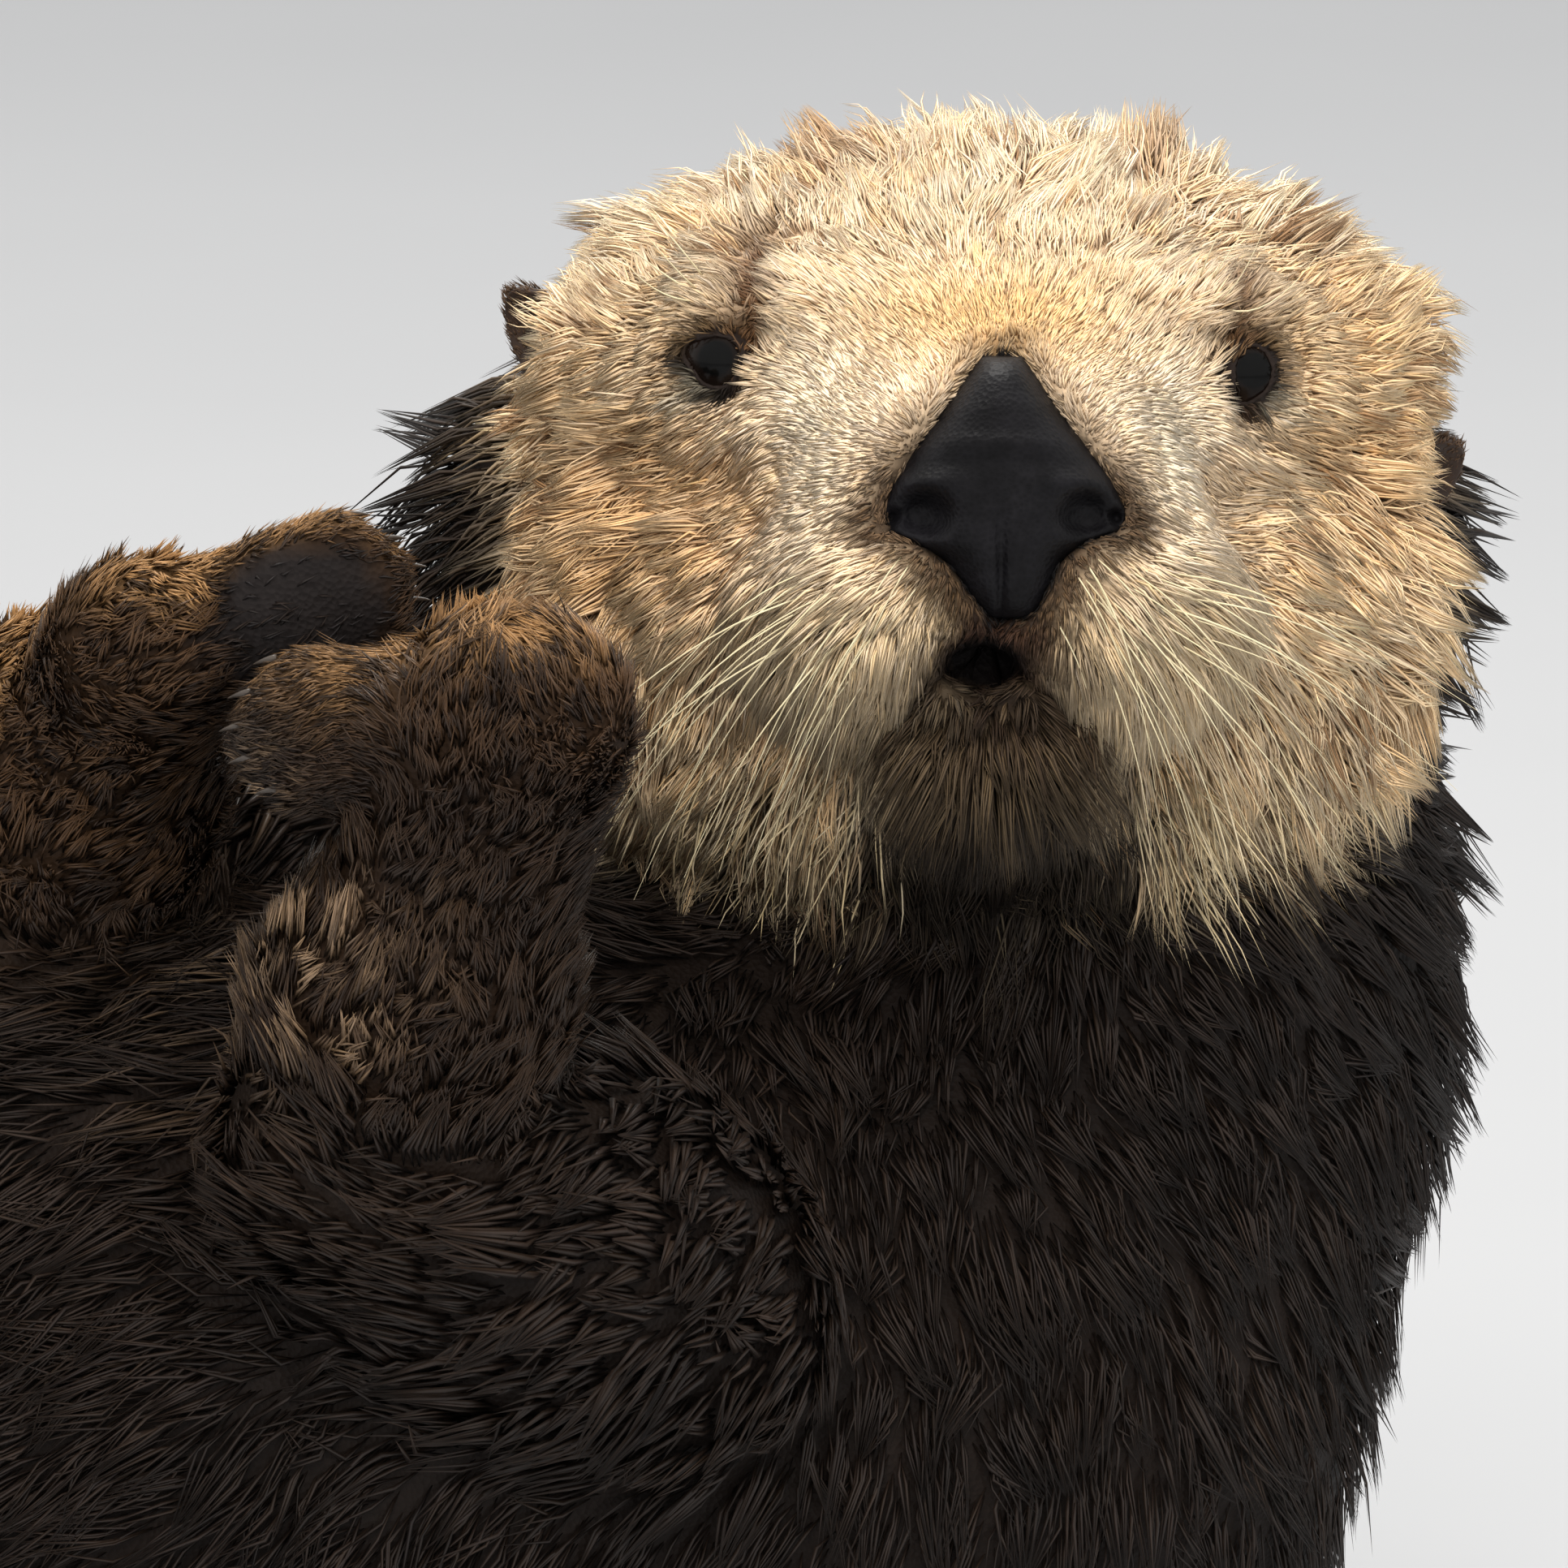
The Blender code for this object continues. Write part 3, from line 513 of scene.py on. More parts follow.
def mesh_from(name, points, faces):
    mesh = bpy.data.meshes.new(name)
    mesh.from_pydata([tuple(p) for p in points], [], faces)
    bm = bmesh.new()
    bm.from_mesh(mesh)
    bmesh.ops.recalc_face_normals(bm, faces=bm.faces)
    if bm.calc_volume(signed=True) < 0:
        bmesh.ops.reverse_faces(bm, faces=bm.faces)
    bm.to_mesh(mesh)
    bm.free()
    return mesh


def join_raw():
    """All the forms in one mesh, each facing out, in the world's place."""
    bm = bmesh.new()
    for k, (points, faces) in enumerate(raw):
        one = mesh_from(f"raw{k}", points + SHIFT, faces)
        bm.from_mesh(one)
        bpy.data.meshes.remove(one)
    mesh = bpy.data.meshes.new("skin_raw")
    bm.to_mesh(mesh)
    bm.free()
    return mesh


VOXEL = 0.0042
skin = bpy.data.objects.new("skin", join_raw())
bpy.context.scene.collection.objects.link(skin)
remesh = skin.modifiers.new("remesh", "REMESH")
remesh.mode = "VOXEL"
remesh.voxel_size = VOXEL
remesh.adaptivity = 0
bpy.context.view_layer.update()
made = bpy.data.meshes.new_from_object(skin.evaluated_get(bpy.context.evaluated_depsgraph_get()))
skin.modifiers.clear()
skin.data = made


# ================================================================ shaping the skin
def points_of(mesh):
    co = np.empty(len(mesh.vertices) * 3, np.float32)
    mesh.vertices.foreach_get("co", co)
    return co.reshape(-1, 3).astype(float)


def set_points(mesh, co):
    mesh.vertices.foreach_set("co", co.astype(np.float32).ravel())
    mesh.update()


def edges_of(mesh):
    e = np.empty(len(mesh.edges) * 2, np.int32)
    mesh.edges.foreach_get("vertices", e)
    return e.reshape(-1, 2)


def neighbours_mean(values, edges, count):
    total = np.zeros_like(values)
    degree = np.zeros(count)
    np.add.at(degree, edges[:, 0], 1)
    np.add.at(degree, edges[:, 1], 1)
    for c in range(values.shape[1]):
        total[:, c] = np.bincount(edges[:, 0], values[edges[:, 1], c], count) + np.bincount(edges[:, 1], values[edges[:, 0], c], count)
    return total / np.maximum(degree, 1)[:, None]


def relax(mesh, rounds, amount=0.5, where=None):
    """Smooths without shrinking."""
    co, edges = points_of(mesh), edges_of(mesh)
    for _ in range(rounds):
        for step in (amount, -amount * 1.03):
            move = (neighbours_mean(co, edges, len(co)) - co) * step
            co = co + (move if where is None else move * where[:, None])
    set_points(mesh, co)


relax(skin.data, 10, 0.6)


def part_shares(p):
    """For world points, how much each named region has of each, from the forms themselves."""
    b = p - SHIFT
    q = to_face(p)
    fields = {"head": head_form(q) + 0.0075, "body": body_form(b) + 0.0090, "tail": tail_form(b) + 0.004}
    for letter, arm in ARMS.items():
        fields["upper_" + letter] = upper_form(arm, b) + 0.0075
        fields["fore_" + letter] = fore_form(arm, b) + 0.0048
        fields["paw_" + letter] = paw_form(arm, b) + 0.0020
    for letter, leg in LEGS.items():
        fields["thigh_" + letter] = thigh_form(leg, b) + 0.0060
        fields["shank_" + letter] = shank_form(leg, b) + 0.0040
        fields["flipper_" + letter] = flipper_form(leg, b) + 0.001
    names = list(fields)
    f = np.stack([fields[n] for n in names])
    f = f - f.min(axis=0)
    w = np.exp(-f / 0.0035)
    w /= w.sum(axis=0)
    return {n: w[i] for i, n in enumerate(names)}


def subdivide_where(mesh, keep):
    """Cuts the faces whose vertices are all in keep into four."""
    bm = bmesh.new()
    bm.from_mesh(mesh)
    bm.verts.ensure_lookup_table()
    chosen = [e for e in bm.edges if keep[e.verts[0].index] and keep[e.verts[1].index]]
    bmesh.ops.subdivide_edges(bm, edges=chosen, cuts=1, use_grid_fill=True)
    bm.to_mesh(mesh)
    bm.free()


def head_lead(p):
    """1 where the head's own form is the outermost."""
    q, b = to_face(p), p - SHIFT
    others = [body_form(b) + 0.0100]
    for arm in ARMS.values():
        others += [upper_form(arm, b) + 0.0075, fore_form(arm, b) + 0.0048, paw_form(arm, b) + 0.0020]
    gap = np.min(others, axis=0) - (head_form(q) + 0.0075)
    return smooth(0.000, 0.010, gap)


def project_head(mesh, rounds):
    co = points_of(mesh)
    near = np.linalg.norm(co - HEAD, axis=1) < 0.15
    p = co[near]
    for _ in range(rounds):
        q = to_face(p)
        f = head_skin(q)
        h = 2e-4
        grad = np.stack([head_skin(q + np.eye(3)[i] * h) - head_skin(q - np.eye(3)[i] * h) for i in range(3)], axis=-1) / (2 * h)
        step = np.clip(f, -0.004, 0.004)[:, None] * grad / np.maximum((grad**2).sum(axis=1, keepdims=True), 0.3)
        p = from_face(q - step * 0.8 * head_lead(p)[:, None])
    co[near] = p
    set_points(mesh, co)


project_head(skin.data, 6)
for reach in (1, 2, 3):
    co = points_of(skin.data)
    q = to_face(co)
    lead = head_lead(co) > 0.5
    if reach == 1:
        keep = lead & (q[:, 1] < -0.004)
    elif reach == 2:
        keep = lead & (q[:, 1] < -0.046) & (np.abs(q[:, 0]) < 0.040) & (q[:, 2] < 0.040) | lead & (eye_distance(q) < 0.016)
    else:
        keep = lead & (eye_distance(q) < 0.0105) | lead & (np.hypot((q[:, 0] - MOUTH[0]) / 1.3, q[:, 2] - MOUTH[1] + 0.001) < 0.012) & (q[:, 1] < -0.045)
    subdivide_where(skin.data, keep)
    project_head(skin.data, 3 if reach == 1 else 2)
co = points_of(skin.data)
near = np.linalg.norm(co - HEAD, axis=1) < 0.13
relax(skin.data, 1, 0.5, near * 1.0)

# lids: round each eye the skin is a height over the plane across the gaze
GAZE = {side: unit(np.array([side * 0.20, -0.975, 0.06])) for side in (-1, 1)}


def eye_frame(side):
    a = GAZE[side]
    u = unit(np.cross(np.array([0, 0, 1.0]), a))  # across
    v = np.cross(a, u)  # up
    return a, u, v


# the opening between the lids: half widths outwards, up and down, the corner's way (radians) and how far it reaches
OPENINGS = {-1: (0.0041, 0.0038, 0.0048, 2.85, 0.0023, 0.46), 1: (0.0031, 0.0041, 0.0042, -1.95, 0.0016, 0.50)}


def eye_opening(side, angle):
    wide, above, below, corner, reach, spread = OPENINGS[side]
    tall = np.where(np.sin(angle) > 0, above, below)
    r = 1 / np.sqrt((np.cos(angle) / wide) ** 2 + (np.sin(angle) / tall) ** 2)
    turn = np.angle(np.exp(1j * (angle - corner)))
    return r + reach * np.exp(-((turn / spread) ** 2))


def shape_lids(mesh):
    co = points_of(mesh)
    for side in (-1, 1):
        centre = to_face(EYES[side])
        a, u, v = eye_frame(side)
        q = to_face(co)
        rel = q - centre
        h, x, y = rel @ a, rel @ u, rel @ v
        r = np.hypot(x, y)
        chosen = (r < 0.0125) & (h > -0.012) & (np.abs(h) < 0.02)
        rr, hh = r[chosen], h[chosen]
        opening = eye_opening(side, np.arctan2(y[chosen], x[chosen]))
        shell = EYE_RADIUS + 0.0005
        lid = np.sqrt(np.maximum(shell**2 - rr**2, 0.0002**2)) + 0.0001 * np.exp(-(((rr - opening - 0.0007) / 0.0007) ** 2))
        inside = np.sqrt(np.maximum(EYE_RADIUS**2 - rr**2, 0)) - 0.0016
        rim = mix(inside, lid, smooth(-0.00030, 0.00030, rr - opening))
        out = smooth(opening + 0.0008, opening + 0.0042, rr)
        new = mix(rim, np.maximum(hh, np.sqrt(np.maximum(EYE_RADIUS**2 - rr**2, 0)) + 0.0004), out)
        q[chosen] += (new - hh)[:, None] * a
        co = np.where(chosen[:, None], from_face(q), co)
    set_points(mesh, co)


shape_lids(skin.data)


def shape_flippers(mesh):
    """Raises the five toes of each hind flipper over the webs, and draws the web's edge in between them."""
    co = points_of(mesh)
    normal = np.empty(len(mesh.vertices) * 3)
    mesh.vertex_normals.foreach_get("vector", normal)
    normal = normal.reshape(-1, 3)
    for leg in LEGS.values():
        p = co - SHIFT
        rel = p - leg["ankle"]
        along, across = rel @ leg["aim"] / FLIPPER_LENGTH, rel @ leg["out"]
        fan = np.clip((along - 0.05) / 0.95, 0, 1)
        half = 0.023 + (FLIPPER_WIDTH / 2 - 0.0245) * fan**0.8
        toe = np.zeros(len(co))
        for k in range(5):
            middle = 0.010 * fan + half * 0.90 * (k - 2) / 2
            toe = np.maximum(toe, np.exp(-(((across - middle) / 0.0052) ** 2)))
        share = smooth(0.006, -0.002, flipper_form(leg, p)) * smooth(0.06, 0.30, along)
        facing = smooth(0.3, 0.7, np.abs(normal @ leg["sole"]))
        knuckles = 1 + 0.35 * np.sin(along * 19.0)
        co = co + normal * (share * facing * (0.0036 * toe * knuckles - 0.0012 * (1 - toe)))[:, None]
        co = co - leg["aim"] * (share * 0.0075 * (1 - toe) * smooth(0.86, 1.02, along))[:, None]
    set_points(mesh, co)


shape_flippers(skin.data)

# keep the one closed surface, and triangles only
bm = bmesh.new()
bm.from_mesh(skin.data)
bmesh.ops.triangulate(bm, faces=bm.faces)
bm.verts.ensure_lookup_table()
seen = np.full(len(bm.verts), -1)
islands = []
for start in bm.verts:
    if seen[start.index] >= 0:
        continue
    stack, members = [start], []
    seen[start.index] = len(islands)
    while stack:
        v = stack.pop()
        members.append(v)
        for e in v.link_edges:
            o = e.other_vert(v)
            if seen[o.index] < 0:
                seen[o.index] = len(islands)
                stack.append(o)
    islands.append(members)
islands.sort(key=len)
for members in islands[:-1]:
    bmesh.ops.delete(bm, geom=members, context="VERTS")
bm.to_mesh(skin.data)
bm.free()
skin_triangles = len(skin.data.polygons)
print("skin triangles", skin_triangles, "islands", len(islands))


def unwrap(obj):
    obj.data.uv_layers.new(name="OFBake")
    bpy.context.view_layer.objects.active = obj
    for other in bpy.context.selected_objects:
        other.select_set(False)
    obj.select_set(True)
    bpy.ops.object.mode_set(mode="EDIT")
    bpy.ops.mesh.select_all(action="SELECT")
    bpy.ops.uv.smart_project(angle_limit=math.radians(70), island_margin=0.002)
    bpy.ops.object.mode_set(mode="OBJECT")
    obj.select_set(False)


unwrap(skin)


class Surface:
    """A mesh's triangles as arrays, to scatter roots over."""

    def __init__(self, mesh):
        self.co = points_of(mesh)
        mesh.calc_loop_triangles()
        n = len(mesh.loop_triangles)
        tri = np.empty(n * 3, np.int32)
        mesh.loop_triangles.foreach_get("vertices", tri)
        self.tri = tri.reshape(-1, 3)
        loops = np.empty(n * 3, np.int32)
        mesh.loop_triangles.foreach_get("loops", loops)
        uv = np.empty(len(mesh.loops) * 2, np.float32)
        mesh.uv_layers["OFBake"].uv.foreach_get("vector", uv)
        self.uv = uv.reshape(-1, 2)[loops].reshape(-1, 3, 2)
        a, b, c = (self.co[self.tri[:, i]] for i in range(3))
        cross = np.cross(b - a, c - a)
        self.area = np.linalg.norm(cross, axis=1) / 2
        self.middle = (a + b + c) / 3
        normal = np.zeros_like(self.co)
        for i in range(3):
            for c_ in range(3):
                normal[:, c_] += np.bincount(self.tri[:, i], cross[:, c_], len(self.co))
        self.normal = unit(normal)

    def scatter(self, density, seed):
        """Roots spread evenly for the density (per square metre) at each triangle: places, normals, UVs."""
        want = self.area * density
        edge = np.cumsum(want)
        count = int(edge[-1])
        rng = np.random.default_rng(seed)
        t = (np.arange(count) + rng.uniform(0, 1, count)) * edge[-1] / count
        face = np.minimum(np.searchsorted(edge, t), len(want) - 1)
        r1, r2 = np.sqrt(rng.uniform(0, 1, count)), rng.uniform(0, 1, count)
        w = np.stack([1 - r1, r1 * (1 - r2), r1 * r2], axis=1)
        place = (self.co[self.tri[face]] * w[:, :, None]).sum(axis=1)
        normal = unit((self.normal[self.tri[face]] * w[:, :, None]).sum(axis=1))
        uv = (self.uv[face] * w[:, :, None]).sum(axis=1)
        return place, normal, uv


surface = Surface(skin.data)

# ================================================================ lie, length and colour of the coat, by place
lie_noise_a, lie_noise_b = make_noise(11, 0.030), make_noise(12, 0.030)
tone_noise = make_noise(13, 0.016, 3)
broad_noise = make_noise(14, 0.060, 2)
wet_noise = make_noise(15, 0.022, 2)

NOSE_WORLD = from_face(NOSE_MIDDLE)
DOWN = np.array([0, 0, -1.0])


def head_lie(q):
    """Which way the coat lies on the head, in the face frame: away from the nose, up over the crown, out and down on the cheeks."""
    x, y, z = q[..., 0], q[..., 1], q[..., 2]
    v = unit((q - NOSE_MIDDLE) * np.array([1.0, 0.7, 1.0]))
    v[..., 1] += 0.35
    droop = smooth(0.020, -0.030, z)
    v[..., 2] -= 0.85 * droop
    v[..., 0] += np.sign(x) * 0.25 * smooth(0.015, 0.05, np.abs(x)) * (1 - 0.5 * droop)
    for side in (-1, 1):
        e = eye_in_face(side)
        r = np.hypot(x - e[0], z - e[2])
        near = np.exp(-((r / 0.013) ** 2))[..., None]
        radial = np.stack([x - e[0], np.zeros_like(x), z - e[2]], axis=-1)
        v = v + unit(radial) * 1.3 * near
    return v


def lie_of(p, shares):
    """World direction of the coat at world points."""
    q, b = to_face(p), p - SHIFT
    head = unit(head_lie(q)) @ AXES
    away = unit(p - NOSE_WORLD)
    away[:, 2] -= 0.35
    tailward = np.tile(np.array([-1.0, 0, 0]), (len(p), 1))
    tailward[:, 2] -= 0.30 * smooth(0.03, 0.09, np.abs(b[:, 1])) * smooth(0.0, 0.05, b[:, 2])
    neck = smooth(-0.17, -0.05, b[:, 0])[:, None]
    low = (smooth(0.16, 0.03, b[:, 2]) * 0.8)[:, None]
    neck_lie = away + tailward * low * 1.5
    total = shares["head"][:, None] * head + shares["body"][:, None] * unit(tailward * (1 - neck) + neck_lie * neck)
    total += shares["tail"][:, None] * np.array([-1.0, 0, 0])
    for letter, arm in ARMS.items():
        total += shares["upper_" + letter][:, None] * unit(unit(arm["elbow"] - arm["shoulder"]) * 0.8 + DOWN * 0.5)
        total += shares["fore_" + letter][:, None] * unit(unit(arm["wrist"] - arm["elbow"]) + DOWN * 0.25)
        total += shares["paw_" + letter][:, None] * arm["along"]
    for letter, leg in LEGS.items():
        total += shares["thigh_" + letter][:, None] * unit(leg["knee"] - leg["hip"] + np.array([-0.06, 0, 0]))
        total += shares["shank_" + letter][:, None] * unit(leg["ankle"] - leg["knee"])
        total += shares["flipper_" + letter][:, None] * leg["aim"]
    return unit(total)


EAR_PLACES = np.array([(-0.0820, 0.010, 0.0350), (0.0835, 0.012, 0.0075)])
# per region: length, lift (degrees), width, clumping, how far apart clumps are
TRAITS = {
    "body": (0.0300, 16, 0.0014, 0.78, 0.012),
    "tail": (0.0160, 13, 0.0013, 0.70, 0.008),
    "upper": (0.0180, 24, 0.0013, 0.82, 0.009),
    "fore": (0.0100, 32, 0.00066, 0.62, 0.0050),
    "paw": (0.0052, 27, 0.00050, 0.42, 0.0030),
    "thigh": (0.0220, 18, 0.0014, 0.80, 0.010),
    "shank": (0.0120, 18, 0.0012, 0.62, 0.007),
    "flipper": (0.0046, 15, 0.0006, 0.35, 0.004),
}


def head_traits(q):
    """length, lift in degrees, width and clumping of the head's coat."""
    x, y, z = q[..., 0], q[..., 1], q[..., 2]
    n = len(x)
    length, lift, width, clump = np.full(n, 0.0205), np.full(n, 40.0), np.full(n, 0.00058), np.full(n, 0.72)
    crown = smooth(0.040, 0.066, z)
    length = mix(length, 0.0180, crown)
    lift = mix(lift, 50.0, crown)
    clump = mix(clump, 0.72, crown)
    cheek = smooth(0.036, 0.060, np.abs(x)) * smooth(0.045, 0.020, z)
    clump = mix(clump, 0.82, cheek)
    forehead = smooth(0.000, -0.035, y) * smooth(0.0, 0.03, z) * (1 - 0.6 * crown)
    length = mix(length, 0.0120, forehead)
    lift = mix(lift, 37.0, forehead)
    clump = mix(clump, 0.52, forehead)
    width = mix(width, 0.00050, forehead)
    low = smooth(-0.010, -0.045, z) * smooth(-0.052, -0.018, y)
    length = mix(length, 0.0280, low)
    lift = mix(lift, 31.0, low)
    width = mix(width, 0.00062, low)
    clump = mix(clump, 0.80, low)
    lift = mix(lift, 21.0, smooth(-0.006, -0.040, y) * smooth(0.030, 0.000, z) * 0.8)
    muzzle = smooth(-0.024, -0.058, y)
    length = mix(length, 0.0064, muzzle)
    lift = mix(lift, 22.0, muzzle)
    width = mix(width, 0.00050, muzzle)
    clump = mix(clump, 0.32, muzzle)
    chin = muzzle * smooth(-0.026, -0.036, z)
    length = mix(length, 0.0190, chin)
    lift = mix(lift, 30.0, chin)
    clump = mix(clump, 0.65, chin)
    pads = muzzle * smooth(0.004, -0.016, z) * smooth(0.006, 0.022, np.abs(x - 0.0015))
    length = mix(length, 0.0150, pads)
    lift = mix(lift, 24.0, pads)
    clump = mix(clump, 0.60, pads)
    near_nose = smooth(0.0060, 0.0010, nose_gap(q)) * smooth(-0.045, -0.060, y)
    length = mix(length, 0.0038, near_nose)
    lift = mix(lift, 34.0, near_nose)
    lip = mouth_share(MOUTH[0] + (x - MOUTH[0]) * 0.62, MOUTH[1] + (z - MOUTH[1]) * 0.62) * smooth(-0.045, -0.055, y)
    length = mix(length, 0.0036, lip)
    lift = mix(lift, 16.0, lip)
    eye = np.exp(-((eye_distance(q) / 0.0105) ** 2))
    length = mix(length, 0.0042, eye)
    lift = mix(lift, 22.0, eye)
    width = mix(width, 0.00042, eye)
    for middle in EAR_PLACES:
        near = np.exp(-((np.linalg.norm(q - middle, axis=-1) / 0.0150) ** 2))
        length = mix(length, 0.0070, near)
        lift = mix(lift, 20.0, near)
    for a, b, _, wide, dark in CREASES[:2]:
        d, _ = segment_distance(x, z, a, b)
        length = mix(length, 0.0045, 0.8 * np.exp(-((d / (wide * 1.3)) ** 2)) * smooth(-0.01, -0.03, y))
    return length, lift, width, clump


def head_colour(q):
    """Root and tip colour of the head's coat, linear."""
    x, y, z = q[..., 0], q[..., 1], q[..., 2]
    n = len(x)
    tip = np.tile(np.array([0.930, 0.745, 0.495]), (n, 1))
    root = np.tile(np.array([0.370, 0.195, 0.088]), (n, 1))

    def tint(amount, tip_colour, root_colour=None):
        nonlocal tip, root
        a = np.clip(amount, 0, 1)[:, None]
        tip = tip * (1 - a) + np.array(tip_colour) * a
        if root_colour is not None:
            root = root * (1 - a) + np.array(root_colour) * a

    # paler cream towards the top of the head: partly the crown's own pale coat, partly painted rim light from above
    rim = smooth(0.030, 0.060, z)
    tint(rim * 0.75, (0.965, 0.845, 0.640), (0.400, 0.220, 0.105))
    muzzle = smooth(-0.036, -0.056, y)
    tint(muzzle, (0.950, 0.775, 0.570), (0.790, 0.590, 0.390))
    for cx, cz, rx, rz in ((-0.0240, 0.0634, 0.0125, 0.0050), (0.0313, 0.0612, 0.0040, 0.0055)):  # brown partings on the crown
        tint(np.exp(-(((x - cx) / rx) ** 2) - (((z - cz) / rz) ** 2)) * 0.80, (0.400, 0.230, 0.115), (0.120, 0.056, 0.026))
    # golden over the nose
    golden = np.exp(-(((x - 0.0030) / 0.027) ** 2) - (((z - 0.0345) / 0.011) ** 2)) * smooth(-0.035, -0.055, y)
    tint(golden * 0.85, (0.780, 0.490, 0.190), (0.420, 0.210, 0.070))
    # painted highlight: pale bands along the ridges either side of the nose, down over the pads
    for side, cx in ((-1, -0.0290), (1, 0.0320)):
        ridge_highlight = np.exp(-(((x - cx) / 0.0085) ** 2) - (((z - 0.0120) / 0.020) ** 2)) * smooth(-0.040, -0.055, y)
        tint(ridge_highlight * 0.85, (0.975, 0.880, 0.700), (0.760, 0.580, 0.380))
    # khaki-grey lower muzzle
    pads = smooth(-0.040, -0.058, y) * smooth(0.000, -0.018, z)
    tint(pads * 0.60, (0.660, 0.510, 0.290), (0.220, 0.140, 0.065))
    # rust-brown outer cheek of the right side, partly the coat's own tint and partly painted shade, and both cheeks'
    # streaks
    rust = np.exp(-(((x + 0.058) / 0.020) ** 2) - (((z - 0.000) / 0.018) ** 2)) * smooth(0.02, -0.02, y)
    tint(rust * 0.62, (0.760, 0.450, 0.190), (0.240, 0.105, 0.038))
    rust = np.exp(-(((x - 0.068) / 0.016) ** 2) - (((z - 0.020) / 0.022) ** 2)) * smooth(0.02, -0.02, y)
    tint(rust * 0.40, (0.800, 0.520, 0.240), (0.260, 0.120, 0.042))
    # chin and throat go brown, then near black: partly the coat's own dark colour, partly painted shade under the chin
    # and head
    ragged = 0.004 * np.sin(x * 420 + 1.3) + 0.003 * np.sin(x * 1130)
    flick = 0.0065 * np.sin(1900 * x + 700 * z) * np.sin(1300 * z - 1100 * x + 0.7)
    aside = np.abs(x - 0.003) + flick
    chin = smooth(-0.0275, -0.0350, z) * smooth(0.030, 0.013, aside) * smooth(0.01, -0.03, y)
    tint(chin * 0.93, (0.066, 0.041, 0.019), (0.020, 0.012, 0.007))
    chin = smooth(-0.0370, -0.0500, z + flick) * smooth(0.034, 0.018, aside) * smooth(0.01, -0.03, y)
    tint(chin * 0.90, (0.021, 0.014, 0.009), (0.008, 0.005, 0.004))
    deep = smooth(-0.047, -0.061, z + ragged) * smooth(0.066, 0.036, np.abs(x - 0.003))
    tint(deep * 0.84, (0.030, 0.020, 0.013), (0.012, 0.008, 0.005))
    under = smooth(-0.054, -0.062, z + ragged) * smooth(0.046, 0.026, np.abs(x - 0.012))
    throat = smooth(-0.053, -0.070, z + ragged) * smooth(0.026, 0.046, np.abs(x - 0.003))
    tint(throat * 0.60, (0.240, 0.165, 0.090), (0.045, 0.026, 0.014))
    throat = smooth(-0.062, -0.075, z + ragged)
    tint(throat * 0.85, (0.050, 0.030, 0.018), (0.014, 0.009, 0.006))
    tint(under * 0.92, (0.024, 0.016, 0.011), (0.010, 0.007, 0.005))
    # back of the head darkens towards the neck
    back = smooth(0.014, 0.048, y)
    tint(back * 0.93, (0.120, 0.074, 0.042), (0.030, 0.018, 0.010))
    # dark skin and fur at the eyes and the mouth, and painted shade in the creases over the eyes
    for side in (-1, 1):
        e = eye_in_face(side)
        r, angle = np.hypot(x - e[0], z - e[2]), np.arctan2(z - e[2], x - e[0])
        around = smooth(0.0058, 0.0012, r - eye_opening(side, angle)) * smooth(-0.02, -0.035, y)
        tint(around * 0.70, (0.260, 0.150, 0.072), (0.070, 0.036, 0.018))
        dark = smooth(0.0030, 0.0013, r - eye_opening(side, angle)) * smooth(-0.008, -0.018, y)
        tint(dark * 1.02, (0.010, 0.007, 0.006), (0.006, 0.005, 0.004))
        shade = np.exp(-((r / 0.0125) ** 2)) * smooth(-0.002, 0.006, z - e[2]) * smooth(-0.02, -0.035, y)
        tint(shade * 0.45, (0.420, 0.280, 0.140), (0.120, 0.060, 0.025))
        pale = np.exp(-(((x - e[0] - side * 0.0052) / 0.0030) ** 2) - (((z - e[2] + 0.0062) / 0.0026) ** 2)) * smooth(-0.02, -0.035, y)
        tint(pale * 0.75, (0.660, 0.590, 0.440), (0.420, 0.360, 0.270))
        tan = np.exp(-(((x - e[0] - side * 0.0090) / 0.0060) ** 2) - (((z - e[2] + 0.0120) / 0.0040) ** 2)) * smooth(-0.02, -0.035, y)
        tint(tan * 0.5, (0.560, 0.330, 0.130), (0.220, 0.100, 0.035))
    # painted shade along the creases over the eyes
    for a, b, _, wide, dark in CREASES:
        d, _ = segment_distance(x, z, a, b)
        tint(np.exp(-((d / (wide * 1.25)) ** 2)) * dark * smooth(-0.015, -0.03, y), (0.170, 0.085, 0.040), (0.045, 0.021, 0.010))
    halo = smooth(0.0110, 0.0020, nose_gap(q)) * smooth(0.022, 0.010, z) * smooth(-0.045, -0.060, y)
    tint(halo * 0.45, (0.420, 0.270, 0.130), (0.160, 0.085, 0.038))
    edge = smooth(0.0058, 0.0012, nose_gap(q)) * smooth(-0.045, -0.060, y)
    low_edge = smooth(0.016, 0.004, z)
    tint(edge * (0.55 + 0.38 * low_edge), (0.085, 0.044, 0.020), (0.014, 0.009, 0.006))
    philtrum = np.exp(-(((x - 0.0020) / 0.0052) ** 2)) * smooth(-0.0150, -0.0190, z) * smooth(-0.0360, -0.0300, z) * smooth(-0.045, -0.055, y)
    tint(philtrum * 0.95, (0.028, 0.016, 0.010), (0.008, 0.005, 0.004))
    for a, b, _, wide in LIPS:
        d, _ = segment_distance(x, z, a, b)
        tint(np.exp(-((d / (wide * 1.5)) ** 2)) * 0.80 * smooth(-0.045, -0.055, y), (0.070, 0.036, 0.020), (0.012, 0.007, 0.005))
    below = np.exp(-(((x - 0.004) / 0.013) ** 2) - (((z + 0.0335) / 0.0048) ** 2)) * smooth(-0.045, -0.055, y)
    tint(below * 0.95, (0.032, 0.018, 0.011), (0.009, 0.006, 0.004))
